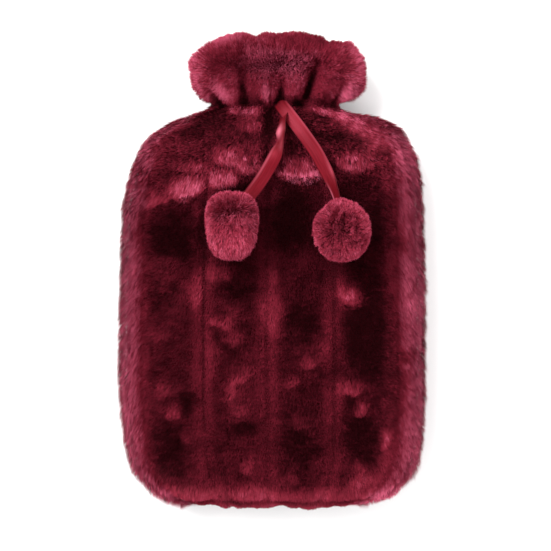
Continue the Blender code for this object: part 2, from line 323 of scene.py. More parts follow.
CREST_DENTS = (
    # place across, half width across, depth
    (-0.19, 0.07, 2.5),
    (0.62, 0.05, 4.5),
    (0.89, 0.08, -3.2),
)
FOOT_DENTS = (
    # x, half width, depth
    (-66.0, 8.0, 2.5),
    (-48.0, 7.0, 4.5),
    (-2.0, 5.0, -2.3),
    (8.0, 6.0, 3.5),
    (30.0, 9.0, -2.5),
    (68.0, 12.0, 3.8),
    (90.0, 9.0, 2.0),
)
CREASES = (
    # top x, top y, low x, low y, half width at the top, half width low down, depth, painted shade
    # above the neck
    (-55.0, 146.0, -38.0, 128.0, 1.8, 2.8, 4.0, 0.36),
    (-22.5, 153.0, -21.7, 130.5, 3.2, 3.6, 7.0, 0.52),
    (-1.0, 148.0, -1.6, 131.5, 0.8, 1.1, 2.5, 0.32),
    (8.5, 148.0, 6.6, 131.0, 1.6, 3.2, 6.5, 0.48),
    (34.0, 159.0, 26.0, 136.0, 2.9, 2.6, 7.0, 0.50),
    (54.0, 145.5, 46.0, 127.5, 1.8, 3.2, 5.0, 0.46),
    # below it
    (-34.0, 127.0, -40.0, 115.0, 3.5, 6.5, 4.0, 0.14),
    (-3.5, 128.0, -2.5, 109.0, 3.2, 4.6, 4.5, 0.34),
    (17.0, 133.5, 20.0, 127.0, 2.4, 3.4, 3.0, 0.34),
)


def read(table, columns, name, along):
    """A column's values on a smooth curve through the rows, which never overshoots them."""
    rows = np.array(table, float)
    places, values = rows[:, 0], rows[:, columns.index(name)]
    rises = np.diff(values) / np.diff(places)
    product, total = rises[:-1] * rises[1:], rises[:-1] + rises[1:]
    inner = np.where(product > 0, 2 * product / np.where(product > 0, total, 1.0), 0.0)
    slopes = np.concatenate([rises[:1], inner, rises[-1:]])
    along = np.clip(along, places[0], places[-1])
    k = np.clip(np.searchsorted(places, along) - 1, 0, len(places) - 2)
    span = places[k + 1] - places[k]
    share = (along - places[k]) / span
    return (
        (2 * share**3 - 3 * share**2 + 1) * values[k]
        + (share**3 - 2 * share**2 + share) * slopes[k] * span
        + (3 * share**2 - 2 * share**3) * values[k + 1]
        + (share**3 - share**2) * slopes[k + 1] * span
    )


def ease(low, high, value):
    """0 below low, 1 above high, and a smooth step between them."""
    share = np.clip((value - low) / (high - low), 0.0, 1.0)
    return share * share * (3.0 - 2.0 * share)


def arc(across, power=ARC_POWER):
    """A section's height at a place across it, as a share of its full height."""
    return np.maximum(0.0, 1.0 - np.abs(across) ** power) ** (1.0 / power)


def half_width(across, along):
    left = read(OUTLINE, OUTLINE_COLUMNS, "left", along)
    right = read(OUTLINE, OUTLINE_COLUMNS, "right", along)
    return np.where(across < 0.0, left, right)


def crest(across):
    height = RIM_CORNER + (RIM - RIM_CORNER) * np.sqrt(np.maximum(0.0, 1.0 - np.abs(across) ** 3))
    for place, width, depth in CREST_DENTS:
        height = height - depth * bump(across - place, width)
    return height


def y_of(across, along):
    share = (along - NECK) / (RIM - NECK)
    return np.where(along <= NECK, along, NECK + (crest(across) - NECK) * share)


def bottom_rounding(along):
    distance = np.clip((along - BOTTOM) / EDGE_ROUND, 0.0, 1.0)
    return np.maximum(0.01, arc(1.0 - distance))


def fold_relief(across, along):
    """The folds that the gather makes, deepest at the neck."""
    depth = np.zeros_like(across)
    for rim, neck, lower, deepest, run in FOLDS:
        above = np.clip((along - NECK) / (RIM - NECK), 0.0, 1.0)
        below = np.clip((NECK - along) / run, 0.0, 1.0)
        place = neck + (rim - neck) * above + (lower - neck) * below
        strength = (1.0 - (1.0 - FOLD_AT_RIM) * above) * (1.0 - below) ** 1.5
        depth = depth + deepest * strength * bump(across - place, FOLD_HALF_WIDTH)
    return -depth


def crease_field(x, y):
    """How deep the creases lie at places in plan, in mm, and how much shade is painted into them.
    """
    depth, shade = np.zeros_like(x), np.zeros_like(x)
    for top_x, top_y, low_x, low_y, top_half, low_half, deepest, darkest in CREASES:
        run_x, run_y = low_x - top_x, low_y - top_y
        share = ((x - top_x) * run_x + (y - top_y) * run_y) / (run_x**2 + run_y**2)
        share = np.clip(share, 0.0, 1.0)
        off = np.hypot(x - top_x - run_x * share, y - top_y - run_y * share)
        half = top_half + (low_half - top_half) * share
        strength = 0.3 + 0.7 * ease(0.0, 0.7, share)
        depth = np.maximum(depth, deepest * strength * np.exp(-((off / (half * 1.3)) ** 2)))
        # painted shade: the pile's tone is darkened along each crease's middle
        shade = np.maximum(shade, darkest * strength * np.exp(-((off / half) ** 3)))
    return depth, shade


# %% [markdown]
# ## Relief in the pile
#
# Straight lines are sculpted down the front, and the pile swells softly between them. Along the
# side seams and the bottom it parts. These are forms of the pile and not of the cloth under it,
# so they move the tips and leave the roots where they are.

# %% Pile relief
PILE_LINES = (-0.846, -0.438, -0.030, 0.398, 0.813)
LINE_DEPTH = 2.4
LINE_HALF_WIDTH = 0.050
LINES_FADE = (70.0, 100.0)
PARTING = 0.935
PARTING_DEPTH = 1.8
PARTING_HALF_WIDTH = 0.030
CROWN_RISE = 0.9
LUMP_RISE = 1.4
LUMP_SIZE = 34.0
EDGE_WAVE = 1.7            # the tips along the outline stand in and out by this
EDGE_WAVE_SIZE = 11.0
EDGE_OUT = 1.8             # loose hairs are shorter than they are aimed, so aim them past
FOOT_IN = 3.0              # the foot's tips are drawn in by this
CREST_IN = 2.0             # and the crest's by this
CORNER_IN = 3.0            # the foot's right corner is rounder than the solid's
NECK_PINCH = 5.5           # how far the outline is drawn in just above the neck
SHOULDER_OUT = 4.8         # and how far it stands out just below
FOOT_RUN = 12.0            # the last stretch of the foot, where its dents lie
CORNER_REACH = 10.0
HALF_ACROSS = 119.0        # about half the cover's width


def soft_noise(points, size, offset=0.0):
    """Smooth noise from about -1 to 1 at points in millimetres."""
    flat = np.asarray(points, float).reshape(-1, 3) / size + offset
    values = np.array([noise.noise(Vector(point)) for point in flat])
    return values.reshape(np.shape(points)[:-1])


def pile_relief(across, along):
    lines = 1.0 - ease(*LINES_FADE, along)
    relief = np.zeros_like(across)
    for place in PILE_LINES:
        relief = relief - LINE_DEPTH * lines * bump(across - place, LINE_HALF_WIDTH)
    phase = (across - PILE_LINES[0]) / (PILE_LINES[1] - PILE_LINES[0])
    relief = relief + CROWN_RISE * lines * 0.5 * (1.0 - np.cos(2.0 * np.pi * phase))
    side = bump(np.abs(across) - PARTING, PARTING_HALF_WIDTH) * (along < NECK)
    foot = bump((along - BOTTOM - 10.0) / 100.0, PARTING_HALF_WIDTH)
    relief = relief - PARTING_DEPTH * np.maximum(side, foot)
    flat = np.stack([across * HALF_ACROSS, along, np.zeros_like(across)], axis=-1)
    return relief + LUMP_RISE * soft_noise(flat, LUMP_SIZE)


def tip_points(face, across, along):
    """Where the pile's tips lie on the front (face 1) or the back (face -1)."""
    half = half_width(across, along)
    height = read(FILL, FILL_COLUMNS, "front" if face > 0 else "back", along)
    height = height * bottom_rounding(along) * arc(across)
    relief = fold_relief(across, along)
    if face > 0:
        creases, _ = crease_field(half * across, y_of(across, along))
        relief = relief + pile_relief(across, along) - creases
    inside = (1.0 - np.abs(across) ** 10) * ease(0.0, 14.0, height)
    height = np.maximum(height * 0.5, height + relief * inside)
    z = SEAM_HEIGHT + face * (SEAM_GAP / 2.0 + height)
    x, y = half * across, y_of(across, along)
    rim = np.stack([x, y, np.zeros_like(x)], axis=-1)
    wave = EDGE_WAVE * soft_noise(rim, EDGE_WAVE_SIZE, 3.0)
    wave = wave + EDGE_WAVE * 0.5 * soft_noise(rim, 5.0, 9.0)
    foot = np.clip(1.0 - (along - BOTTOM) / FOOT_RUN, 0.0, 1.0)
    crest_side = ease(RIM - 14.0, RIM, along)
    pinch = NECK_PINCH * bump(along - NECK - 4.0, 3.8)
    pinch = pinch - SHOULDER_OUT * bump(along - NECK + 9.0, 7.0)
    out = EDGE_OUT * (1.0 - 0.9 * ease(NECK - 2.0, NECK + 6.0, along))
    x = x + (wave + out - pinch) * np.sign(across) * ease(0.85, 1.0, np.abs(across))
    corner = bump(along - BOTTOM - FOOT_RUN, CORNER_REACH)
    x = x - CORNER_IN * corner * ease(0.7, 0.95, across)
    y = y + wave * (crest_side - 1.5 * foot) + FOOT_IN * foot - CREST_IN * crest_side
    for place, width, depth in FOOT_DENTS:
        y = y + depth * foot * bump(x - place, width)
    return np.stack([x, y, np.maximum(0.3, z)], axis=-1)


# %% [markdown]
# ## The cloth under the pile
#
# The backing of the fur lies about one pile length, 7 mm, inside the tips, and 6 mm below the
# crest. At the ruffle's mouth the cloth turns in over itself as a hem
# and runs down inside. The grid of points for this is finer towards the edges, where the form
# curves most.

# %% Cloth points
PILE_LENGTH = 7.0
CREST_INSET = 6.0
MOUTH_HALF = 14.0          # the mouth is held open this far each way
HEM_TURN = 1.6             # the hem's radius where it turns in at the mouth
HEM_DROP = 24.0            # how far the hem runs down inside
HEM_PILE = 4.5             # the pile inside the mouth lies short and flat


def edge_direction(across, along):
    """The outline's outward direction in plan, smoothed along the edge."""
    reach = np.linspace(-7.0, 7.0, 5)
    slope = np.zeros_like(across)
    for step in reach:
        upper = half_width(across, np.clip(along + step + 1.5, BOTTOM, RIM))
        lower = half_width(across, np.clip(along + step - 1.5, BOTTOM, RIM))
        slope = slope + np.clip((upper - lower) / 3.0, -2.6, 2.6) / len(reach)
    size = np.sqrt(1.0 + slope**2)
    return 1.0 / size, -slope / size


def root_points(face, across, along):
    """Where the cloth lies under the tips that tip_points gives for the same place."""
    out_x, out_y = edge_direction(across, along)
    foot = np.clip(1.0 - (along - BOTTOM) / EDGE_ROUND, 0.0, 1.0) ** 2.2
    edge = np.abs(across) ** 3
    shift = (1.0 - edge) * foot - edge * out_y
    shift = np.where(along > NECK, shift * (1.0 - ease(NECK, NECK + 14.0, along)), shift)
    full = half_width(across, along)
    x = full * across - PILE_LENGTH * np.maximum(out_x, 0.45) * np.sign(across) * edge
    height = read(FILL, FILL_COLUMNS, "front" if face > 0 else "back", along) - PILE_LENGTH
    height = np.where(along > NECK + 20.0, np.maximum(height, MOUTH_HALF), height)
    height = height * bottom_rounding(along) * arc(across)
    inside = (1.0 - np.abs(across) ** 10) * ease(0.0, 8.0, height)
    relief = fold_relief(across, along)
    if face > 0:
        creases, _ = crease_field(full * across, y_of(across, along))
        relief = relief - 0.6 * creases
    height = np.maximum(height * 0.4, height + relief * inside)
    top = CREST_INSET * ease(RIM - 30.0, RIM, along)
    z = SEAM_HEIGHT + face * (SEAM_GAP / 2.0 + 0.4 + height)
    y = y_of(across, along) + PILE_LENGTH * shift - top
    return np.stack([x, y, z], axis=-1)


samples = np.array([0.0, 1.0, 0.9]), np.array([-50.0, -50.0, 110.0])
gaps = np.linalg.norm(tip_points(1, *samples) - root_points(1, *samples), axis=1)
print("pile length at three places, in mm:", gaps.round(1))


def panel_grid(face, columns, rows, low=BOTTOM, high=RIM):
    """A panel's grid: roots, tips, and each point's place across and along."""
    u = np.sin(np.pi / 2 * np.linspace(-1.0, 1.0, columns))
    v = np.linspace(0.0, 1.0, rows)
    across, along = np.meshgrid(u, low + (high - low) * v)
    if low <= BOTTOM:
        near = 1.0 - np.cos(np.pi / 2 * np.clip(v * 5.0, 0.0, 1.0))
        bent = np.where(v < 0.2, low + (high - low) * 0.2 * near, low + (high - low) * v)
        across, along = np.meshgrid(u, bent)
    return root_points(face, across, along), tip_points(face, across, along), across, along


# %% [markdown]
# ## Which way the pile was stroked
#
# Plush is dark where its fibres stand and the eye looks down into them, and pale and pink where
# they lie over and show their sides. Hands leave it in patches. Each larger patch has a row here,
# by its place on the cover in millimetres: pale rows are strokes that laid the pile over, with the
# way they went, and dark rows are where it stands. The rows lean the blades, and their tone paints
# that sheen and shade into the fibres' colour as well. Noise makes the patches' edges wander.

# %% Strokes in the pile
STROKES = (
    # x, y, half size in x, half size in y, turn in degrees, tone, comb in x, comb in y
    # pale strokes: painted sheen where the pile was laid over
    (-67, 67, 14, 8, 4, 0.35, -0.5, -0.7),
    (-90, 58, 14, 7, 10, 0.19, -0.5, -0.7),
    (-63, 62, 9, 4, 8, 0.14, -0.5, -0.9),
    (-62, 82, 13, 4, 0, 0.12, -0.4, -0.7),
    (-35, 91, 10, 7, -25, 0.24, 0.1, -0.9),
    (-22, 84, 8, 6, -40, 0.22, 0.3, -0.8),
    (-38, 73, 12, 6, -8, 0.37, 0.1, -0.9),
    (-30, 77, 6, 2.5, -20, 0.16, 0.1, -0.9),
    (22.5, 77, 18, 3.4, -3, 0.70, 0, -1),
    (24, 84, 10, 5, 0, 0.20, 0, -0.7),
    (62.6, 85.5, 17, 6.5, 0, 0.28, -0.3, -0.9),
    (80, 104, 22, 9, -24, 0.08, 0.9, -0.3),
    (-65, 116, 10, 5, 20, 0.16, -0.5, -0.3),
    (72, 96, 6, 6, 0, 0.08, 0.3, -0.4),
    (50, 124.5, 25, 5.5, -8, 0.26, 0.4, -0.3),
    (66, 113, 15, 8, -14, 0.15, 0.5, -0.3),
    (-61, 73, 5, 5, 0, 0.12, -0.2, -0.6),
    (13, 86, 6, 5, 0, 0.16, 0, -0.5),
    (-12, 84, 4, 7, 0, 0.14, 0, -0.5),
    (-60, 68, 6, 6, 0, 0.08, -0.3, -0.7),
    (60.5, -17.5, 10.2, 9.4, 0, 0.42, 0.1, -0.3),
    (-36, -38, 8.5, 6.5, 15, 0.22, -0.2, -0.4),
    (-29, -30, 7, 6, 0, 0.10, 0, -0.3),
    (-58, -12, 5.5, 14, 0, 0.12, 0, -0.2),
    (1.9, -30.3, 9, 19, 0, 0.11, 0, -0.3),
    (-27, -84, 4.5, 17, -25, 0.15, -0.2, -0.4),
    (68.8, -102.5, 5.6, 5, 20, 0.28, -0.3, -0.4),
    (85, -125, 4, 6.5, 0, 0.28, 0.1, -0.4),
    (91, -143, 10, 18, 0, 0.06, 0.1, -0.2),
    (67.5, -146, 6, 5, 0, 0.17, 0, -0.3),
    (63.5, -86.5, 12, 6, 4, 0.28, -0.2, -0.4),
    (29.5, -67.5, 6, 5, 0, 0.14, 0, -0.3),
    (15.5, -84, 5.5, 4, 0, 0.14, 0, -0.3),
    (-24, -103, 9, 4.5, 0, 0.09, -0.1, -0.3),
    (-86, -47, 8, 6, 0, 0.06, -0.2, -0.4),
    (-75, -30, 12, 12, 0, 0.06, 0, -0.2),
    (-66, -126, 5, 5, 0, 0.12, -0.1, -0.3),
    (-76.5, -106, 5, 5, 0, 0.18, 0.1, -0.4),
    (-17.5, -147, 5.5, 9, 0, 0.15, 0, -0.3),
    (11, -157, 7, 6, 0, 0.10, 0, -0.2),
    (-24, -90, 12, 26, 0, 0.06, -0.1, -0.2),
    (-40, -2, 10, 7, 0, 0.14, 0.1, -0.3),
    (-82, 2, 12, 10, 0, 0.08, 0, -0.2),
    (-2, -2, 7, 8, 0, 0.06, 0, -0.2),
    (25, -59, 16, 14, 0, 0.10, 0, -0.2),
    (36, -44, 6, 8, 0, 0.03, 0, -0.1),
    (76, -24, 8, 9, 0, 0.06, 0, -0.1),
    (112, -24, 5, 12, 0, 0.16, 0.1, -0.3),
    (98, -10, 6, 18, 0, 0.05, 0, -0.2),
    (20, -113, 15, 8, 0, 0.11, 0, -0.3),
    (-66, -15, 6, 10, 0, 0.09, 0, -0.2),
    (-30, -50, 9, 6, 0, 0.10, 0.1, -0.4),
    (-45, -64, 7, 14, 0, 0.04, 0, -0.1),
    (-81, -88, 10, 7, 0, 0.14, -0.2, -0.4),
    (68, -159, 14, 9, 20, 0.22, 0.2, -0.4),
    (-62, -168, 14, 6, -10, 0.12, -0.2, -0.5),
    (-18, -166, 14, 6, 0, 0.14, 0, -0.5),
    (12, 101, 10, 8, 0, 0.14, 0, -0.3),
    (-20, 108, 22, 11, 0, 0.06, 0, -0.3),
    (-18, 125.8, 8.5, 3.6, -6, 0.36, 0, 0.4),
    # pale strokes in the ruffle
    (-37.5, 138, 4.6, 15, 41, 0.46, -0.1, -0.5),
    (-51, 135, 5, 7, 0, 0.20, -0.3, -0.4),
    (52, 137, 9, 6, 20, 0.22, 0.3, -0.4),
    (-25, 136, 5, 6, 30, 0.22, 0, -0.4),
    (-2, 156, 32, 20, 0, 0.13, 0, 0),
    (-2.7, 136, 5, 8, 0, 0.26, 0, -0.7),
    (19, 144, 7, 13, 0, 0.05, 0, -0.2),
    (5, 160.5, 27, 8, 0, 0.30, 0, 0),
    (-2, 181.5, 34, 4, 0, 0.12, 0, 0.3),
    (61.5, 137, 11, 7, -35, 0.34, 0.6, -0.6),
    (-37, 178, 17, 6, 12, 0.22, -0.2, 0.6),
    (62, 163, 12, 15, 0, 0.10, 0.6, 0.3),
    (-58, 160, 7, 22, 0, 0.14, -0.6, 0.2),
    # dark places: painted shade where the pile stands, and in the hollows just below the ruffle
    (-36, 161, 15, 6.5, 8, -0.12, 0, 0),
    (-12, 140, 4, 9, 0, -0.12, 0, 0),
    (58, 157, 6, 9, 0, -0.18, 0, 0),
    (-56, 160, 5, 8, 0, -0.10, 0, 0),
    (-46, 119.5, 15, 5, 38, -0.20, 0, 0),
    (-60, 107, 13, 6, 15, -0.26, 0, 0),
    (-77, 26, 24, 16, 0, -0.24, 0, 0),
    (-60, 12, 7, 7, 0, -0.12, 0, 0),
    (-52, 32, 5, 22, 0, -0.24, 0, 0),
    (28, 117, 12, 6.5, 0, -0.24, 0, 0),
    (-28, 105, 12, 7, 0, -0.15, 0, 0),
    (-15, 104, 8, 6.5, 0, -0.17, 0, 0),
    (-86, 104, 9, 6, 20, -0.15, 0, 0),
    (85, 94, 6, 6, 0, -0.16, 0, 0),
    (-95, 97, 11, 6, 30, -0.17, 0, 0),
    (-40, 97, 8, 7, 0, -0.16, 0, 0),
    (-104, 82, 8, 12, 0, -0.15, 0, 0),
    (47, 86, 10, 12, 0, -0.12, 0, 0),
    (-1, 86, 6, 8, 0, -0.26, 0, 0),
    (45, 83, 6, 6, 0, -0.10, 0, 0),
    (27, 71.5, 12, 4, 0, -0.20, 0, 0),
    (-26, 66, 15, 5, 0, -0.22, 0, 0),
    (57, 57, 14, 5, 0, -0.16, 0, 0),
    (60, 102, 15, 8, -10, -0.18, 0, 0),
    (84, 38, 11, 22, 0, -0.20, 0, 0),
    (42, 0, 10, 10, 0, -0.14, 0, 0),
    (-41, -44, 6, 6, 0, -0.15, 0, 0),
    (96, -86, 13, 28, 0, -0.12, 0, 0),
    (113, -6, 3, 8, 0, -0.22, 0, 0),
    (107, -63, 9, 5, 10, -0.26, 0, 0),
    (105, -82, 7, 10, 0, -0.14, 0, 0),
    (106, 26, 8, 10, 0, -0.12, 0, 0),
    (-104, 84, 8, 10, 0, -0.08, 0, 0),
    (-106, 36, 6, 14, 0, -0.14, 0, 0),
    (-33, 114, 14, 5, 0, -0.12, 0, 0),
    (-2.7, 108, 5.5, 16, -6, -0.26, 0, 0),
    (16.7, 100, 7, 15, 8, -0.30, 0, 0),
    (43, 103, 14, 6, -8, -0.28, 0, 0),
    (67, 65.8, 16, 7, 0, -0.10, 0, 0),
    (12, 42, 20, 24, 0, -0.29, 0, 0),
    (-25, -13, 14, 10, 0, -0.20, 0, 0),
    (-29, -56, 9, 7, 0, -0.10, 0, 0),
    (-79, -136, 15, 21, 0, -0.20, 0, 0),
    (-80, -24, 14, 12, 0, -0.10, 0, 0),
    (-64, -99, 6, 10, 0, -0.24, 0, 0),
    (21, -44, 14, 24, 0, -0.18, 0, 0),
    (73.5, -42, 20, 42, 0, -0.27, 0, 0),
    (46, -76, 8, 12, 0, -0.12, 0, 0),
    (57, -102, 5, 7, 0, -0.12, 0, 0),
    (22, -125, 16, 30, 0, -0.18, 0, 0),
    (-20, -117, 14, 6.5, 0, -0.17, 0, 0),
    (-42, -138, 7, 18, 0, -0.07, 0, 0),
    (-36, -172, 7, 5, 0, -0.14, 0, 0),
    (-51.3, 92, 1.2, 22, 0, -0.14, 0, 0),
    (68, -125, 15, 20, 0, -0.22, 0, 0),
    (24.5, 176, 26, 9, 0, -0.14, 0, 0.3),
)
STROKE_FALL = 1.7          # how abruptly a stroke ends: 1 is the softest
STRAY = ((4.2, 13.0, 0.0), (2.4, 5.5, 7.0))    # how far its edge wanders, size, offset
TONE_GROUND = 0.180        # the pile between the lines, where it stands
# painted sheen and shade: the bands between the sculpted lines are painted paler, and each line's
# core darker, as shade in its groove
TONE_BANDS = (
    # place across, half width, tone, tone in the line itself
    (-0.846, 0.095, 0.08, -0.06),
    (-0.443, 0.080, 0.16, -0.12),
    (-0.030, 0.085, 0.14, -0.08),
    (0.395, 0.075, 0.16, -0.12),
    (0.805, 0.095, 0.21, -0.08),
)
LINE_CORE = 0.010
# painted sheen: the pile is paler where it turns over the sides and the foot and shows its fibres'
# sides
TONE_EDGE = {"left": 0.72, "right": 0.74}
TONE_FOOT = 0.26
# painted sheen: paler on the shoulders, where the pile leans away from the neck, in the ruffle,
# where it fans out, and more on the ruffle's flaps
TONE_SHOULDER = 0.16
TONE_RUFFLE = 0.30
TONE_FLAPS = 0.13          # more at the ruffle's two sides
# painted shade in the gather's folds
FOLD_SHADE = 0.12
LIP = (6.5, 1.6, 0.30)     # the dark line around the foot: how far in, half width, shade
BRUSHED_LEAST, BRUSHED_MOST = 0.05, 0.80


def stroke_field(x, y):
    """The strokes' share of the tone and of the comb, at places in plan."""
    tone, comb = np.zeros_like(x), np.zeros(x.shape + (2,))
    for row in STROKES:
        middle_x, middle_y, half_x, half_y, turn, strength, comb_x, comb_y = row
        c, s = math.cos(math.radians(turn)), math.sin(math.radians(turn))
        right, up = x - middle_x, y - middle_y
        u, v = (right * c + up * s) / half_x, (up * c - right * s) / half_y
        weight = np.exp(-((u**2 + v**2) ** STROKE_FALL))
        tone = tone + strength * weight
        comb = comb + weight[..., None] * np.array([comb_x, comb_y])
    return tone, comb


def strayed(x, y, offset):
    """How far a stroke's edge wanders at places in plan, in mm."""
    flat = np.stack([x, y, np.zeros_like(x)], axis=-1)
    return sum(far * soft_noise(flat, size, offset + more) for far, size, more in STRAY)


def front_tone(across, along, x, y):
    """How pale the front's pile is painted, from 0 to 1, its comb in plan and how brushed it is.
    The tone is mostly painted sheen and shade: of the pile's lay, its rolls, folds and creases.
    """
    lines = (1.0 - ease(*LINES_FADE, along)) * (0.65 + 0.35 * ease(-135.0, -85.0, along))
    tone = np.full_like(across, TONE_GROUND)
    # painted sheen on the bands, painted shade in the lines' grooves
    for line, (place, width, strength, core) in zip(PILE_LINES, TONE_BANDS):
        tone = tone + lines * strength * np.exp(-(((across - place) / width) ** 4))
        tone = tone + lines * core * bump(across - line, LINE_CORE)
    # painted sheen over the side rolls, a little less at the very outline and none under the
    # shoulders, then over the foot
    roll = np.clip((np.abs(across) - 0.78) / 0.17, 0.0, 1.0) ** 1.3
    roll = roll - 0.50 * ease(0.955, 1.0, np.abs(across))
    roll = roll * (1.0 - ease(100.0, 125.0, along))
    tone = tone + roll * np.where(across < 0.0, TONE_EDGE["left"], TONE_EDGE["right"])
    tone = tone + TONE_FOOT * (1.0 - ease(BOTTOM + 13.0, BOTTOM + 24.0, along))
    # painted sheen on the shoulders and in the ruffle
    above = 1.0 - ease(NECK - 4, NECK + 6, along)
    tone = tone + TONE_SHOULDER * ease(70.0, 105.0, along) * above
    tone = tone + TONE_RUFFLE * ease(NECK, NECK + 12.0, along)
    # painted shade: darker in the folds and along the creases
    folds = np.clip(-fold_relief(across, along) / 6.0, 0.0, 1.0)
    tone = tone - FOLD_SHADE * folds - crease_field(x, y)[1]
    # painted sheen on the ruffle's two flaps
    flaps = ease(0.78, 0.97, np.abs(across)) * ease(NECK + 4.0, NECK + 20.0, along)
    tone = tone + TONE_FLAPS * flaps
    loose = 1.0 - 0.75 * ease(60.0, 80.0, along)
    # the strokes' painted sheen and shade, and their comb
    strokes, comb = stroke_field(x + loose * strayed(x, y, 0.0), y + loose * strayed(x, y, 20.0))
    inset = np.minimum(half_width(across, along) * (1.0 - np.abs(across)), along - BOTTOM)
    lip_in, lip_half, lip_shade = LIP
    lip = bump(inset - lip_in, lip_half) * (1.0 - ease(-166.0, -145.0, along))
    tone = tone - lip_shade * lip
    body = 0.36 * ease(0.80, 0.93, np.abs(across)) + 0.34 * ease(55.0, 85.0, along)
    ruffle = 0.08 + 0.30 * ease(0.6, 0.9, np.abs(across))
    brushed = np.where(along < NECK, body, ruffle)
    worked = 0.9 * np.maximum(strokes, 0.0) * (along < NECK)
    brushed = np.clip(BRUSHED_LEAST + brushed + worked, 0.0, BRUSHED_MOST)
    return tone + strokes, comb, brushed


def comb_field(across, along, x, y):
    """The pile's own fall: down the cover, and away from the neck on the shoulders."""
    away = unit(np.stack([x * 1.4, y - 150.0], axis=-1))
    shoulder = ease(55.0, 100.0, along) * (1.0 - ease(NECK - 3.0, NECK + 3.0, along))
    down = np.stack([np.zeros_like(x), np.full_like(x, -0.22)], axis=-1)
    ruffle = ease(NECK, NECK + 10.0, along)
    rise = -0.50 + 0.65 * ease(NECK + 8.0, RIM - 12.0, along)
    flare = np.stack([0.35 * across, rise], axis=-1)
    comb = down * (1.0 - shoulder - ruffle)[..., None] + 0.34 * away * shoulder[..., None]
    roll = ease(0.80, 0.95, np.abs(across)) * (1.0 - ruffle)
    comb[..., 1] = comb[..., 1] - 0.55 * roll
    return comb + flare * ruffle[..., None]


# %% [markdown]
# ## One tree grows every kind of pile
#
# A Geometry Nodes tree scatters roots over a mesh, and stands one narrow blade of two
# triangles on each. The blade leaves the cloth straight, and bends to the way the pile is
# combed. Neighbours share a tuft: each root looks up the nearest point of a second, sparser
# scatter and leans a little to it, which gives the clumps that real plush has. Curves would be
# closer to hair, but the triangles are what stays in the finished mesh.

# %% Node helpers
def plug(tree, value, socket):
    """Links a socket, or sets a plain value."""
    if isinstance(value, bpy.types.NodeSocket):
        tree.links.new(value, socket)
    else:
        socket.default_value = value


def add_node(tree, kind, inputs=None, **settings):
    """Adds a node, applies its settings, then fills the inputs that are named."""
    made = tree.nodes.new(kind)
    for name, value in settings.items():
        setattr(made, name, value)
    for name, value in (inputs or {}).items():
        plug(tree, value, made.inputs[name])
    return made


def vector_math(tree, operation, *parts):
    """A Vector Math node's result. For SCALE the second part is the factor."""
    made = add_node(tree, "ShaderNodeVectorMath", operation=operation)
    sockets = [made.inputs[0], made.inputs["Scale"]] if operation == "SCALE" else made.inputs
    for part, socket in zip(parts, sockets):
        plug(tree, part, socket)
    return made.outputs["Value" if operation in ("LENGTH", "DOT_PRODUCT") else "Vector"]


def plain_math(tree, operation, *parts, **settings):
    made = add_node(tree, "ShaderNodeMath", operation=operation, **settings)
    for part, socket in zip(parts, made.inputs):
        plug(tree, part, socket)
    return made.outputs[0]


def read_attribute(tree, name, kind="FLOAT_VECTOR"):
    made = add_node(tree, "GeometryNodeInputNamedAttribute", {"Name": name}, data_type=kind)
    return made.outputs["Attribute"]


def random_vector(tree, seed):
    """Three random numbers from -1 to 1 for each element."""
    made = add_node(tree, "FunctionNodeRandomValue", {"Seed": seed}, data_type="FLOAT_VECTOR")
    made.inputs[0].default_value = (-1.0, -1.0, -1.0)
    made.inputs[1].default_value = (1.0, 1.0, 1.0)
    return made.outputs[0]


def random_number(tree, seed):
    """A random number from -1 to 1 for each element."""
    made = add_node(tree, "FunctionNodeRandomValue", {"Seed": seed}, data_type="FLOAT")
    made.inputs[2].default_value = -1.0
    made.inputs[3].default_value = 1.0
    return made.outputs[1]


# %% [markdown]
# ## The tree itself
#
# The mesh that it grows on brings four attributes: `reach`, from the root to where the tip
# should be, `comb`, the lean as a share of the length, `tone`, how pale the pile is there, and
# `brushed`, how far hands have roughed it up, which decides how much its tufts and strands show.
# What goes on to the material is `tone` and `along`, which runs from 0 at a root to 1 at a tip.

# %% The pile tree
PILE_INPUTS = (
    # name, kind, value
    ("Density", "NodeSocketFloat", 2.0e6),
    ("Tuft Density", "NodeSocketFloat", 4.0e5),
    ("Width", "NodeSocketFloat", 0.0005),
    ("Uneven", "NodeSocketFloat", 0.08),
    ("Tuft Uneven", "NodeSocketFloat", 0.07),
    ("Gather", "NodeSocketFloat", 0.36),
    ("Tuft Lean", "NodeSocketFloat", 0.15),
    ("Jitter", "NodeSocketFloat", 0.17),
    ("Swirl", "NodeSocketFloat", 0.08),
    ("Swirl Size", "NodeSocketFloat", 0.012),
    ("Mottle", "NodeSocketFloat", 0.11),
    ("Mottle Size", "NodeSocketFloat", 0.010),
    ("Rows", "NodeSocketFloat", 0.10),
    ("Strands", "NodeSocketFloat", 0.50),
    ("Tuft Tone", "NodeSocketFloat", 0.18),
    ("Own Tone", "NodeSocketFloat", 0.17),
    ("Seed", "NodeSocketInt", 1),
    ("Blade", "NodeSocketObject", None),
    ("Finish", "NodeSocketMaterial", None),
)
FLOOR_GAP = 0.0003         # no blade goes lower than this over the surface


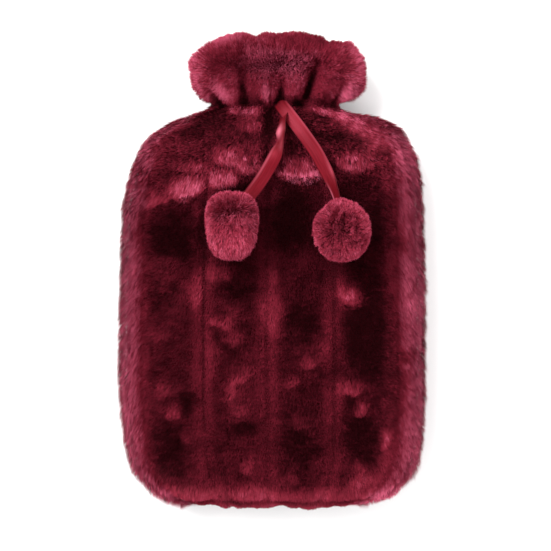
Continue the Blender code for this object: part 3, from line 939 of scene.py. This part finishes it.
def pile_tree():
    tree = bpy.data.node_groups.new("pile", "GeometryNodeTree")
    face = tree.interface
    face.new_socket("Geometry", in_out="INPUT", socket_type="NodeSocketGeometry")
    for name, kind, value in PILE_INPUTS:
        made = face.new_socket(name, in_out="INPUT", socket_type=kind)
        if value is not None:
            made.default_value = value
    face.new_socket("Geometry", in_out="OUTPUT", socket_type="NodeSocketGeometry")
    given = add_node(tree, "NodeGroupInput").outputs
    seed = given["Seed"]

    # scatter the roots, and a sparser set of tufts
    cloth = given["Geometry"]
    roots = add_node(
        tree, "GeometryNodeDistributePointsOnFaces",
        {"Mesh": cloth, "Density": given["Density"], "Seed": seed},
    ).outputs["Points"]
    tuft_seed = plain_math(tree, "ADD", seed, 7)
    tufts = add_node(
        tree, "GeometryNodeDistributePointsOnFaces",
        {"Mesh": cloth, "Density": given["Tuft Density"], "Seed": tuft_seed},
    ).outputs["Points"]
    place = add_node(tree, "GeometryNodeInputPosition").outputs[0]
    nearest = add_node(
        tree, "GeometryNodeSampleNearest", {"Geometry": tufts}, domain="POINT"
    ).outputs["Index"]

    def of_tuft(field):
        made = add_node(
            tree, "GeometryNodeSampleIndex", {"Geometry": tufts, "Index": nearest},
            data_type="FLOAT_VECTOR", domain="POINT",
        )
        tree.links.new(field, made.inputs["Value"])
        return made.outputs["Value"]

    # brushed pile shows its tufts; the rest stands close and even
    tone = read_attribute(tree, "tone", "FLOAT")
    brushed = read_attribute(tree, "brushed", "FLOAT")
    lively = plain_math(tree, "ADD", plain_math(tree, "MULTIPLY", brushed, 1.8), 0.28)
    gather = plain_math(tree, "MULTIPLY", given["Gather"], lively)
    tuft_way = plain_math(tree, "MULTIPLY", given["Tuft Lean"], lively)

    # the way that each blade leans
    reach = read_attribute(tree, "reach")
    length = vector_math(tree, "LENGTH", reach)
    out = vector_math(tree, "NORMALIZE", reach)
    to_tuft = vector_math(tree, "SUBTRACT", of_tuft(place), place)
    to_tuft = vector_math(tree, "SCALE", to_tuft, plain_math(tree, "DIVIDE", gather, length))
    tuft_random = of_tuft(random_vector(tree, 11))
    tuft_lean = vector_math(tree, "SCALE", tuft_random, tuft_way)
    jitter = plain_math(tree, "MULTIPLY", given["Jitter"], plain_math(tree, "ADD", lively, 0.15))
    jitter = vector_math(tree, "SCALE", random_vector(tree, 12), jitter)
    swirl_scale = plain_math(tree, "DIVIDE", 1.0, given["Swirl Size"])
    swirl = add_node(
        tree, "ShaderNodeTexNoise", {"Vector": place, "Scale": swirl_scale, "Detail": 2.0}
    ).outputs["Color"]
    swirl = vector_math(tree, "SUBTRACT", swirl, (0.5, 0.5, 0.5))
    swirl = vector_math(tree, "SCALE", swirl, plain_math(tree, "MULTIPLY", given["Swirl"], 4.0))
    lean = read_attribute(tree, "comb")
    for part in (to_tuft, tuft_lean, jitter, swirl):
        lean = vector_math(tree, "ADD", lean, part)
    along_out = vector_math(tree, "SCALE", out, vector_math(tree, "DOT_PRODUCT", lean, out))
    lean = vector_math(tree, "SUBTRACT", lean, vector_math(tree, "SCALE", along_out, 0.8))

    # a leaning blade is a little shorter, and each one's length differs
    squared = vector_math(tree, "DOT_PRODUCT", lean, lean)
    shorten = plain_math(tree, "POWER", plain_math(tree, "ADD", 1.0, squared), -0.15)
    uneven = plain_math(tree, "MINIMUM", lively, 1.0)
    uneven = plain_math(tree, "MULTIPLY", given["Uneven"], uneven)
    uneven = plain_math(tree, "MULTIPLY", random_number(tree, 13), uneven)
    of_tufts = vector_math(tree, "DOT_PRODUCT", tuft_random, (0.0, 0.0, 1.0))
    of_tufts = plain_math(tree, "MULTIPLY", of_tufts, given["Tuft Uneven"])
    uneven = plain_math(tree, "ADD", uneven, of_tufts)
    length = plain_math(tree, "MULTIPLY", length, plain_math(tree, "ADD", uneven, 1.0))
    size = plain_math(tree, "MULTIPLY", length, shorten)
    tip = vector_math(tree, "SCALE", vector_math(tree, "ADD", out, lean), size)
    slight = vector_math(tree, "SCALE", lean, 0.3)
    bend = vector_math(tree, "SCALE", vector_math(tree, "ADD", out, slight), size)
    bend = vector_math(tree, "SCALE", bend, 0.55)
    stray = plain_math(tree, "MULTIPLY", lively, 0.35)
    stray = vector_math(tree, "SCALE", random_vector(tree, 14), stray)
    turn = vector_math(tree, "ADD", lean, stray)
    side = vector_math(tree, "NORMALIZE", vector_math(tree, "CROSS_PRODUCT", out, turn))

    # tone: what the mesh says, mottled, with every tuft and every blade a little different
    def patches(stretch, size, strength, detail):
        made = add_node(
            tree, "ShaderNodeTexNoise",
            {"Vector": vector_math(tree, "MULTIPLY", place, stretch),
             "Scale": plain_math(tree, "DIVIDE", 1.0, size), "Detail": detail},
        ).outputs[0]
        made = plain_math(tree, "MULTIPLY", plain_math(tree, "SUBTRACT", made, 0.5), 3.0)
        return plain_math(tree, "MULTIPLY", made, strength)

    mottle = patches((1.0, 1.1, 1.0), given["Mottle Size"], given["Mottle"], 2.0)
    rows = patches((0.22, 1.0, 0.4), 0.0016, given["Rows"], 1.0)
    calm = plain_math(tree, "SUBTRACT", 1.5, lively, use_clamp=True)
    rows = plain_math(tree, "MULTIPLY", rows, calm)
    strands = patches((1.0, 0.20, 0.4), 0.0012, given["Strands"], 1.0)
    strands = plain_math(tree, "MULTIPLY", strands, brushed)
    tuft_tone = vector_math(tree, "DOT_PRODUCT", tuft_random, (0.5, 0.5, 0.0))
    tuft_tone = plain_math(tree, "MULTIPLY", tuft_tone, given["Tuft Tone"])
    own_tone = plain_math(tree, "MULTIPLY", random_number(tree, 15), given["Own Tone"])
    own_tone = plain_math(tree, "MULTIPLY", own_tone, lively)
    tuft_tone = plain_math(tree, "MULTIPLY", tuft_tone, lively)
    for part in (mottle, rows, strands, tuft_tone, own_tone):
        tone = plain_math(tree, "ADD", tone, part)

    # keep each blade's own values, stand a blade on every root, and shape it
    kept = add_node(tree, "GeometryNodeCaptureAttribute", domain="POINT")
    for name, kind in (("Root", "VECTOR"), ("Tip", "VECTOR"), ("Bend", "VECTOR"),
                       ("Side", "VECTOR"), ("Tone", "FLOAT")):
        kept.capture_items.new(kind, name)
    for name, field in (("Geometry", roots), ("Root", place), ("Tip", tip), ("Bend", bend),
                        ("Side", side), ("Tone", tone)):
        tree.links.new(field, kept.inputs[name])
    blade = add_node(tree, "GeometryNodeObjectInfo", {"Object": given["Blade"]})
    standing = add_node(
        tree, "GeometryNodeInstanceOnPoints",
        {"Points": kept.outputs["Geometry"], "Instance": blade.outputs["Geometry"]},
    ).outputs[0]
    real = add_node(tree, "GeometryNodeRealizeInstances", {"Geometry": standing}).outputs[0]

    s = read_attribute(tree, "along", "FLOAT")
    rest = plain_math(tree, "SUBTRACT", 1.0, s)
    to_bend = plain_math(tree, "MULTIPLY", plain_math(tree, "MULTIPLY", s, rest), 2.0)
    offset = vector_math(tree, "SCALE", kept.outputs["Bend"], to_bend)
    to_tip = vector_math(tree, "SCALE", kept.outputs["Tip"], plain_math(tree, "MULTIPLY", s, s))
    offset = vector_math(tree, "ADD", offset, to_tip)
    half = plain_math(tree, "MULTIPLY", read_attribute(tree, "edge", "FLOAT"), given["Width"])
    half = plain_math(tree, "MULTIPLY", half, 0.5)
    to_side = vector_math(tree, "SCALE", kept.outputs["Side"], half)
    offset = vector_math(tree, "ADD", offset, to_side)
    goal = vector_math(tree, "ADD", kept.outputs["Root"], offset)
    goal = vector_math(tree, "MAXIMUM", goal, (-10.0, -10.0, FLOOR_GAP))
    shaped = add_node(
        tree, "GeometryNodeSetPosition", {"Geometry": real, "Position": goal}
    ).outputs[0]

    # only the tone and the place along the blade go on
    toned = add_node(
        tree, "GeometryNodeStoreNamedAttribute",
        {"Geometry": shaped, "Name": "tone", "Value": kept.outputs["Tone"]},
        data_type="FLOAT", domain="POINT",
    ).outputs[0]
    for name in ("reach", "comb", "brushed", "edge"):
        toned = add_node(
            tree, "GeometryNodeRemoveAttribute", {"Geometry": toned, "Name": name}
        ).outputs[0]
    finished = add_node(
        tree, "GeometryNodeSetMaterial", {"Geometry": toned, "Material": given["Finish"]}
    ).outputs[0]
    tree.links.new(finished, add_node(tree, "NodeGroupOutput").inputs["Geometry"])
    return tree


PILE_TREE = pile_tree()
print("nodes in the pile tree:", len(PILE_TREE.nodes))

# %% [markdown]
# ## The blade, and growing it
#
# A blade is a kite of four points: one at the root, two a little over half way up and one at the
# tip. Hundreds of thousands of them make up the pile, so each may have only two triangles.

# %% Growing helpers
def blade_object():
    points = np.array([(0, 0, 0), (1, 0, 7), (-1, 0, 7), (0, 0, 12)], float)
    made = plain_object("blade", points, [(0, 1, 2), (2, 1, 3)])
    store(made.data, "along", [0.0, 0.6, 0.6, 1.0], "FLOAT")
    store(made.data, "edge", [0.0, 1.0, -1.0, 0.0], "FLOAT")
    return made


BLADE = blade_object()


def grown(name, ground, finish, **values):
    """Grows pile on a mesh object and hands back the blades as a plain mesh object."""
    modifier = ground.modifiers.new("pile", "NODES")
    modifier.node_group = PILE_TREE
    chosen = {"Blade": BLADE, "Finish": finish, **values}
    for item in PILE_TREE.interface.items_tree:
        if item.in_out == "INPUT" and item.name in chosen:
            modifier[item.identifier] = chosen[item.name]
    ground.update_tag()
    depsgraph = bpy.context.evaluated_depsgraph_get()
    mesh = bpy.data.meshes.new_from_object(ground.evaluated_get(depsgraph))
    ground.modifiers.remove(modifier)
    mesh.name = name
    made = bpy.data.objects.new(name, mesh)
    bpy.context.scene.collection.objects.link(made)
    mesh.shade_flat()
    triangles = sum(len(polygon.vertices) - 2 for polygon in mesh.polygons)
    print(name, "triangles:", triangles)
    return made


def ground_mesh(name, roots, reach, comb, tone, brushed):
    """The mesh that a stretch of pile grows on, from grids of points in millimetres."""
    rows, columns = roots.shape[:2]
    made = plain_object(name, roots.reshape(-1, 3), grid_faces(rows, columns))
    store(made.data, "reach", reach.reshape(-1, 3) * MM)
    store(made.data, "comb", comb.reshape(-1, 3))
    store(made.data, "tone", tone.ravel(), "FLOAT")
    store(made.data, "brushed", brushed.ravel(), "FLOAT")
    return made


# %% [markdown]
# ## Colour of the fibres
#
# A fibre's colour follows its tone, from a near-black burgundy through crimson to a dusty rose;
# the tone carries the pile's painted sheen and shade. The colour is also painted darker towards
# its root, where little light gets. Both kinds of fur use this, so it is a node group with the
# three colours as inputs.

# %% Fibre colour group
def fibre_colour_group():
    tree = bpy.data.node_groups.new("fibre_colour", "ShaderNodeTree")
    for name, value in (("Deep", (0.02, 0.002, 0.004, 1.0)), ("Middle", (0.2, 0.02, 0.04, 1.0)),
                        ("Pale", (0.6, 0.12, 0.2, 1.0)), ("Root Shade", (0.3, 0.15, 0.2, 1.0))):
        made = tree.interface.new_socket(name, in_out="INPUT", socket_type="NodeSocketColor")
        made.default_value = value
    tree.interface.new_socket("Color", in_out="OUTPUT", socket_type="NodeSocketColor")
    given = add_node(tree, "NodeGroupInput").outputs
    tone = add_node(tree, "ShaderNodeAttribute", attribute_name="tone").outputs["Fac"]
    along = add_node(tree, "ShaderNodeAttribute", attribute_name="along").outputs["Fac"]
    low = add_node(tree, "ShaderNodeMapRange", {"Value": tone, "From Max": 0.5}).outputs[0]
    high = add_node(
        tree, "ShaderNodeMapRange", {"Value": tone, "From Min": 0.5, "From Max": 1.0}
    ).outputs[0]
    first = add_node(tree, "ShaderNodeMix", data_type="RGBA")
    for value, place in ((low, 0), (given["Deep"], 6), (given["Middle"], 7)):
        plug(tree, value, first.inputs[place])
    second = add_node(tree, "ShaderNodeMix", data_type="RGBA")
    for value, place in ((high, 0), (first.outputs[2], 6), (given["Pale"], 7)):
        plug(tree, value, second.inputs[place])
    # painted shade: the colour darkens towards the root
    lit = add_node(
        tree, "ShaderNodeMapRange", {"Value": along, "From Min": 0.42, "From Max": 0.97}
    ).outputs[0]
    veil = add_node(tree, "ShaderNodeMix", data_type="RGBA")
    for value, place in ((lit, 0), (given["Root Shade"], 6), ((1.0, 1.0, 1.0, 1.0), 7)):
        plug(tree, value, veil.inputs[place])
    shaded = add_node(tree, "ShaderNodeMix", data_type="RGBA", blend_type="MULTIPLY")
    for value, place in ((1.0, 0), (second.outputs[2], 6), (veil.outputs[2], 7)):
        plug(tree, value, shaded.inputs[place])
    tree.links.new(shaded.outputs[2], add_node(tree, "NodeGroupOutput").inputs["Color"])
    return tree


FIBRE_COLOUR = fibre_colour_group()


def new_material(name):
    """A material with nodes, and its tree and Principled shader."""
    made = bpy.data.materials.new(name)
    made.use_nodes = True
    return made, made.node_tree, made.node_tree.nodes["Principled BSDF"]


def fur_material(name, deep, middle, pale, root_shade, sheen):
    made, tree, shader = new_material(name)
    colour = add_node(tree, "ShaderNodeGroup", node_tree=FIBRE_COLOUR)
    for socket, value in (("Deep", deep), ("Middle", middle), ("Pale", pale)):
        colour.inputs[socket].default_value = (*value, 1.0)
    colour.inputs["Root Shade"].default_value = (*root_shade, 1.0)
    tree.links.new(colour.outputs["Color"], shader.inputs["Base Color"])
    shader.inputs["Roughness"].default_value = 0.55
    shader.inputs["Specular IOR Level"].default_value = 0.06
    shader.inputs["Sheen Weight"].default_value = sheen
    shader.inputs["Sheen Roughness"].default_value = 0.4
    shader.inputs["Sheen Tint"].default_value = (0.9, 0.35, 0.45, 1.0)
    return made


COVER_FUR = fur_material(
    "cover_fur", deep=(0.036, 0.0028, 0.0052), middle=(0.30, 0.0215, 0.045),
    pale=(0.76, 0.142, 0.250), root_shade=(0.42, 0.29, 0.33), sheen=0.0,
)
POMPOM_FUR = fur_material(
    "pompom_fur", deep=(0.11, 0.009, 0.019), middle=(0.42, 0.037, 0.074),
    pale=(0.82, 0.155, 0.27), root_shade=(0.40, 0.22, 0.26), sheen=0.03,
)

# %% [markdown]
# ## The backing cloth
#
# Fur cloth has a knitted back. It shows only inside the mouth and through gaps in the pile, so
# its finish is a dark knit: fine courses as a bump, and a colour that wanders a little.

# %% Knitted back
def knit_material():
    made, tree, shader = new_material("knitted_back")
    place = add_node(tree, "ShaderNodeTexCoord").outputs["Object"]
    ribs = add_node(
        tree, "ShaderNodeTexWave", {"Vector": place, "Scale": 190.0, "Distortion": 0.6},
        bands_direction="X",
    ).outputs["Fac"]
    courses = add_node(
        tree, "ShaderNodeTexWave", {"Vector": place, "Scale": 150.0, "Distortion": 0.6},
        bands_direction="Y",
    ).outputs["Fac"]
    knit = plain_math(tree, "MULTIPLY", ribs, courses)
    wander = add_node(tree, "ShaderNodeTexNoise", {"Vector": place, "Scale": 60.0}).outputs[0]
    ramp = add_node(tree, "ShaderNodeValToRGB", {"Fac": wander})
    ramp.color_ramp.elements[0].color = (0.070, 0.006, 0.011, 1.0)
    ramp.color_ramp.elements[1].color = (0.130, 0.011, 0.021, 1.0)
    tree.links.new(ramp.outputs["Color"], shader.inputs["Base Color"])
    bump_node = add_node(
        tree, "ShaderNodeBump", {"Height": knit, "Strength": 0.5, "Distance": 0.0004}
    )
    tree.links.new(bump_node.outputs["Normal"], shader.inputs["Normal"])
    shader.inputs["Roughness"].default_value = 0.9
    shader.inputs["Specular IOR Level"].default_value = 0.05
    return made


KNIT = knit_material()
CLOTH_THICKNESS = 1.4


def with_hem(face, roots):
    """Adds the rows that turn in over the mouth and run down inside."""
    last = roots[-1]
    rows = [roots]
    inward = np.zeros_like(last)
    inward[:, 2] = -face
    room = np.minimum(1.0, np.abs(last[:, 2] - SEAM_HEIGHT) / (2.6 * HEM_TURN))[:, None]
    for angle in np.radians((45.0, 90.0, 135.0, 180.0)):
        step = inward * HEM_TURN * (1.0 - math.cos(angle)) * room
        step[:, 1] += HEM_TURN * math.sin(angle)
        rows.append((last + step)[None])
    for share in np.linspace(0.1, 1.0, 8):
        step = inward * HEM_TURN * 2.0 * room
        step[:, 1] -= HEM_DROP * share
        rows.append((last + step)[None])
    return np.concatenate(rows)


def cloth_piece(name, face, columns, rows):
    """A panel's backing: a thin closed sheet from the bottom seam to the end of the hem."""
    roots = panel_grid(face, columns, rows)[0]
    points = with_hem(face, roots)
    faces = grid_faces(len(points), columns)
    if face < 0:
        faces = [quad[::-1] for quad in faces]
    made = plain_object(name, points.reshape(-1, 3), faces)
    thick = made.modifiers.new("thickness", "SOLIDIFY")
    thick.thickness = CLOTH_THICKNESS * MM
    thick.offset = -1.0
    made.data.materials.append(KNIT)
    made.data.shade_smooth()
    return made


front_cloth = cloth_piece("front_cloth", 1, 45, 60)
back_cloth = cloth_piece("back_cloth", -1, 45, 60)

# %% [markdown]
# ## Pile on the front
#
# The front's pile is grown in five stretches, so that no piece is too heavy. Each is a strip of
# the same grid. Under the ribbons the pile is pressed down.

# %% Front pile
PRESS = 2.4                # how far the pile gives under a ribbon
PRESS_REACH = 7.5
LAY = 0.8                  # how far the palest pile leans down the cover
QUICK_SHARE = 1.0


def pressed(tips):
    """How much shorter the pile stands at each tip because a ribbon lies on it."""
    down = np.zeros(tips.shape[:2])
    for route in routes.values():
        for x, y in route[::4, :2]:
            near = np.hypot(tips[..., 0] - x, tips[..., 1] - y)
            down = np.maximum(down, PRESS * bump(near, PRESS_REACH))
    return down


def panel_ground(name, face, columns, rows, low, high):
    roots, tips, across, along = panel_grid(face, columns, rows, low, high)
    if face > 0:
        tips[..., 2] -= pressed(tips) * (along < NECK - 6.0)
    x, y = tips[..., 0], tips[..., 1]
    fall = comb_field(across, along, x, y)
    if face > 0:
        tone, strokes, brushed = front_tone(across, along, x, y)
        fall = fall + strokes * 0.5
        flat = (along < NECK) * (1.0 - 0.5 * ease(0.80, 0.95, np.abs(across)))
        fall[..., 1] -= LAY * ease(0.20, 0.62, tone) * flat
    else:
        # painted sheen: paler towards the side seams, where the pile turns over
        tone = np.full_like(x, 0.30) + 0.28 * ease(0.8, 0.99, np.abs(across))
        brushed = np.full_like(x, 0.4)
    comb = np.concatenate([fall, np.zeros(x.shape + (1,))], axis=-1)
    return ground_mesh(name, roots, tips - roots, comb, tone, brushed)


FRONT_STRETCHES = (
    # name, rows, low, high, blades to a square metre, how much their lengths differ
    ("front_pile_foot", 60, BOTTOM, -100.0, 3.8e6, 0.09),
    ("front_pile_lower", 50, -100.0, -20.0, 3.8e6, 0.09),
    ("front_pile_upper", 50, -20.0, 60.0, 3.8e6, 0.09),
    ("front_pile_shoulders", 50, 60.0, NECK, 4.2e6, 0.09),
    ("front_pile_ruffle", 70, NECK, RIM, 6.3e6, 0.17),
)

front_pile = []
for seed, (name, rows, low, high, density, uneven) in enumerate(FRONT_STRETCHES):
    ground = panel_ground(name + "_ground", 1, 181, rows, low, high)
    front_pile.append(grown(
        name, ground, COVER_FUR, Density=density * QUICK_SHARE, Uneven=uneven, Seed=20 + seed))
    bpy.data.objects.remove(ground)

# %% [markdown]
# ## Pile on the back
#
# The cover lies on its back, so no blade there goes below the surface. It is the same fur, but
# with far fewer blades that are twice as wide, because little of it is seen.

# %% Back pile
BACK_STRETCHES = (
    # name, rows, low, high, blades to a square metre
    ("back_pile_lower", 80, BOTTOM, -20.0, 0.8e6),
    ("back_pile_upper", 80, -20.0, NECK, 0.8e6),
    ("back_pile_ruffle", 40, NECK, RIM, 1.2e6),
)
back_pile = []
for seed, (name, rows, low, high, density) in enumerate(BACK_STRETCHES):
    ground = panel_ground(name + "_ground", -1, 91, rows, low, high)
    back_pile.append(grown(
        name, ground, COVER_FUR, Density=density * QUICK_SHARE, Width=0.0010, Seed=40 + seed,
    ))
    bpy.data.objects.remove(ground)

# %% [markdown]
# ## Pile inside the mouth
#
# The hem turns the fur side of the cloth inwards, so the first two centimetres inside the mouth
# are furry too. The pile there is pressed flat and short.

# %% Mouth pile
def mouth_ground(face, columns):
    roots = panel_grid(face, columns, 3, RIM - 2.0, RIM)[0]
    rows = with_hem(face, roots)[len(roots) - 1:]
    inward = np.zeros_like(rows)
    inward[..., 2] = -face
    share = np.linspace(0.0, 1.0, len(rows))[:, None]
    inward[..., 1] = 1.0 - 1.3 * ease(0.0, 0.45, share)
    room = np.minimum(1.0, np.abs(rows[..., 2:] - SEAM_HEIGHT) / HEM_PILE)
    # painted shade: paler at the mouth's edge and darker deeper inside it
    tone = 0.16 + 0.24 * (1.0 - ease(0.0, 0.4, share)) + np.zeros(rows.shape[:2])
    comb = np.zeros_like(rows)
    brushed = np.full_like(tone, 0.4)
    return ground_mesh("mouth_ground", rows, unit(inward) * HEM_PILE * room, comb, tone, brushed)


mouth_pile = []
for seed, (face, name) in enumerate(((1, "mouth_pile_front"), (-1, "mouth_pile_back"))):
    ground = mouth_ground(face, 91)
    mouth_pile.append(grown(
        name, ground, COVER_FUR, Density=1.3e6 * QUICK_SHARE, Width=0.0010, Seed=80 + seed))
    bpy.data.objects.remove(ground)

# %% [markdown]
# ## Pompoms
#
# A fur pompom is a tied tuft trimmed to a ball. The left one is squarish with its hair combed
# down, and the right one is round with curlier hair. Each grows on a small core from the same
# tree, and its hair reaches the form that the solid has. It lies on the pile, so its underside
# is flattened there.

# %% Pompoms
POMPOM_SHAPES = {
    "pompom_left": {
        "centre": (-29.7, 34.2, 80.0),
        "half": (20.6, 26.2, 20.5),
        "power": (2.7, 2.9),   # at its lower end, at its upper end
        "top_tone": -0.04,
        "crown_tone": 0.17,
        "comb": (0.0, -0.55, 0.0),
        "tone": 0.44,
        "rim_tone": 0.13,
        "growth": {"Gather": 0.16, "Tuft Lean": 0.16, "Swirl": 0.2, "Tuft Density": 4.5e5,
                   "Tuft Tone": 0.16, "Jitter": 0.14, "Own Tone": 0.20, "Strands": 0.80,
                   "Uneven": 0.12, "Tuft Uneven": 0.10},
    },
    "pompom_right": {
        "centre": (52.2, 30.4, 80.5),
        "half": (23.2, 25.2, 21.0),
        "power": (2.1, 1.8),
        "top_tone": 0.05,
        "crown_tone": 0.0,
        "comb": (0.0, -0.05, 0.0),
        "tone": 0.38,
        "rim_tone": 0.16,
        "growth": {"Gather": 0.30, "Tuft Lean": 0.22, "Swirl": 0.24, "Swirl Size": 0.006,
                   "Tuft Density": 2.8e5, "Tuft Tone": 0.20, "Jitter": 0.16, "Own Tone": 0.20,
                   "Strands": 0.0, "Uneven": 0.09, "Tuft Uneven": 0.10},
    },
}
CORE_SHARE = 0.66          # the core's size as a share of the pompom's
TRIM = 0.95                # the locks fan out a little past where they are aimed
REST_GAP = 1.5


def front_height(x, y):
    """The front's height over the surface at places below the neck."""
    side = half_width(x, y)
    return tip_points(1, x / side, y)[..., 2]


def pompom_piece(name, shape, seed):
    bpy.ops.mesh.primitive_ico_sphere_add(subdivisions=5, radius=1.0)
    core = bpy.context.object
    core.name = name + "_core"
    count = len(core.data.vertices)
    ways = np.zeros(count * 3)
    core.data.vertices.foreach_get("co", ways)
    ways = unit(ways.reshape(-1, 3))
    half, centre = np.array(shape["half"]), np.array(shape["centre"])
    upper = ease(-0.9, 0.9, ways[:, 1])
    power = shape["power"][0] + (shape["power"][1] - shape["power"][0]) * upper
    reach = (np.abs(ways / half) ** power[:, None]).sum(1) ** (-1.0 / power)
    roots = centre + ways * reach[:, None] * CORE_SHARE
    tips = centre + ways * reach[:, None] * TRIM
    floor = front_height(tips[:, 0], tips[:, 1]) + REST_GAP
    tips[:, 2] = np.maximum(tips[:, 2], floor)
    core.data.vertices.foreach_set("co", (roots * MM).ravel())
    store(core.data, "reach", (tips - roots) * MM)
    fade = 1.0 - 0.9 * ease(0.4, 1.0, ways[:, 1:2])
    store(core.data, "comb", np.array(shape["comb"]) * fade)
    # painted sheen: the hair is paler towards the ball's outline, where it is seen from the side
    rim = ease(0.55, 0.98, np.hypot(ways[:, 0], ways[:, 1]))
    tone = shape["tone"] + shape["rim_tone"] * rim
    tone = tone + shape["top_tone"] * ease(0.55, 0.9, ways[:, 1])
    # painted highlight: lifts the spot on the crown where the combed hair points at the eye and
    # shows its dark roots
    tone = tone + shape["crown_tone"] * bump(ways[:, 1] - 0.40, 0.22) * (1.0 - rim)
    store(core.data, "tone", tone, "FLOAT")
    store(core.data, "brushed", np.full(count, 0.4), "FLOAT")
    hair = grown(
        name + "_hair", core, POMPOM_FUR, Density=9.5e6 * QUICK_SHARE, Seed=seed, Mottle=0.10,
        **{"Mottle Size": 0.006}, Rows=0.0, Width=0.0007, **shape["growth"],
    )
    core.data.materials.append(POMPOM_FUR)
    return hair, core


pompoms = {
    name: pompom_piece(name, shape, 60 + number)
    for number, (name, shape) in enumerate(POMPOM_SHAPES.items())
}
bpy.data.objects.remove(BLADE)

# %% [markdown]
# ## Satin
#
# Satin floats its warp on the face, so it shines along its length and looks soft across it. The
# gloss is a moderate roughness with a red reflection. Highlights are also painted into the colour:
# the attribute `painted_highlight` mixes in a pale pink where the tails turn to the light. Fine
# threads along the ribbon are a bump on its UV map, and the woven edges are a shade darker.

# %% Satin
THREADS_PER_METRE = 3200.0


def satin_material():
    made, tree, shader = new_material("satin")
    flat = add_node(tree, "ShaderNodeUVMap", uv_map="UVMap").outputs["UV"]
    parts = add_node(tree, "ShaderNodeSeparateXYZ", {"Vector": flat}).outputs
    across = plain_math(tree, "DIVIDE", parts["X"], RIBBON_WIDTH * MM / 2)
    across = plain_math(tree, "ABSOLUTE", across)
    edge = add_node(
        tree, "ShaderNodeMapRange", {"Value": across, "From Min": 0.88, "From Max": 0.93}
    ).outputs[0]
    long_way = add_node(tree, "ShaderNodeMapping", {"Vector": flat, "Scale": (900.0, 60.0, 1.0)})
    streak = add_node(
        tree, "ShaderNodeTexNoise", {"Vector": long_way.outputs[0], "Scale": 1.0, "Detail": 3.0}
    ).outputs[0]
    ramp = add_node(tree, "ShaderNodeValToRGB", {"Fac": streak})
    ramp.color_ramp.elements[0].position = 0.35
    ramp.color_ramp.elements[0].color = (0.090, 0.0031, 0.0060, 1.0)
    ramp.color_ramp.elements[1].position = 0.68
    ramp.color_ramp.elements[1].color = (0.135, 0.0058, 0.0112, 1.0)
    darker = add_node(tree, "ShaderNodeMix", data_type="RGBA", blend_type="MULTIPLY")
    for value, place in ((edge, 0), (ramp.outputs["Color"], 6), ((0.50, 0.45, 0.47, 1.0), 7)):
        plug(tree, value, darker.inputs[place])
    # painted highlight: pale pink mixed into the colour where the tails are marked as catching the
    # light
    painted_highlight_share = add_node(tree, "ShaderNodeAttribute", attribute_name="painted_highlight").outputs["Fac"]
    with_painted_highlight = add_node(tree, "ShaderNodeMix", data_type="RGBA")
    for value, place in ((painted_highlight_share, 0), (darker.outputs[2], 6), ((0.60, 0.13, 0.19, 1.0), 7)):
        plug(tree, value, with_painted_highlight.inputs[place])
    tree.links.new(with_painted_highlight.outputs[2], shader.inputs["Base Color"])
    threads = plain_math(tree, "SINE", plain_math(
        tree, "MULTIPLY", parts["X"], THREADS_PER_METRE * 2.0 * math.pi))
    bump_node = add_node(
        tree, "ShaderNodeBump", {"Height": threads, "Strength": 0.12, "Distance": 0.0001}
    )
    tree.links.new(bump_node.outputs["Normal"], shader.inputs["Normal"])
    shader.inputs["Roughness"].default_value = 0.34
    shader.inputs["Specular IOR Level"].default_value = 0.26
    shader.inputs["Specular Tint"].default_value = (1.0, 0.12, 0.20, 1.0)
    return made


SATIN = satin_material()
for piece in ribbons.values():
    piece.data.materials.append(SATIN)

# %% [markdown]
# ## Floor and light
#
# The background is white, so the floor is a pale matt sheet under a bright even sky. One large
# soft lamp from the upper left models the folds, and a weaker one fills from the right.

# %% Floor and light
def floor_piece():
    reach = 3000.0
    corners = [(x * reach, y * reach, 0.0) for x, y in ((-1, -1), (1, -1), (1, 1), (-1, 1))]
    made = plain_object("floor", np.array(corners), [(0, 1, 2, 3)])
    finish, _, shader = new_material("floor_paper")
    shader.inputs["Base Color"].default_value = (0.93, 0.93, 0.93, 1.0)
    shader.inputs["Roughness"].default_value = 0.9
    shader.inputs["Specular IOR Level"].default_value = 0.1
    made.data.materials.append(finish)


def soft_lamp(name, place, size, power):
    """An area lamp that looks at the cover's middle."""
    made = bpy.data.objects.new(name, bpy.data.lights.new(name, "AREA"))
    made.data.shape = "SQUARE"
    made.data.size = size
    made.data.energy = power
    made.location = place
    made.rotation_euler = (-Vector(place)).to_track_quat("-Z", "Y").to_euler()
    bpy.context.scene.collection.objects.link(made)


floor_piece()
soft_lamp("key_lamp", (-0.9, 0.8, 1.4), 1.0, 42.0)
soft_lamp("fill_lamp", (1.2, -0.4, 1.2), 1.2, 12.0)
world = bpy.data.worlds.new("studio")
world.use_nodes = True
world.node_tree.nodes["Background"].inputs["Color"].default_value = (1.0, 1.0, 1.0, 1.0)
world.node_tree.nodes["Background"].inputs["Strength"].default_value = 1.1
bpy.context.scene.world = world
bpy.context.scene.view_settings.view_transform = "Standard"

# %% [markdown]
# ## What each piece is
#
# Every piece rides on the cover's one body. The cloth stands for its panel and carries the pile,
# and each ribbon tail and pompom stands in for its solid, which is hidden.

# %% Attaching the pieces
def attach(pieces):
    for piece in pieces:
        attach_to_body(piece, "root")


front_pile.append(mouth_pile[0])
back_pile.append(mouth_pile[1])
attach([front_cloth, back_cloth, *front_pile, *back_pile])
attach(ribbons.values())
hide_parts("front_panel")
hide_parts("back_panel")
for side in ("left", "right"):
    hair, core = pompoms["pompom_" + side]
    attach([hair, core])
    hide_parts("pompom_" + side)
    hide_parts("ribbon_" + side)
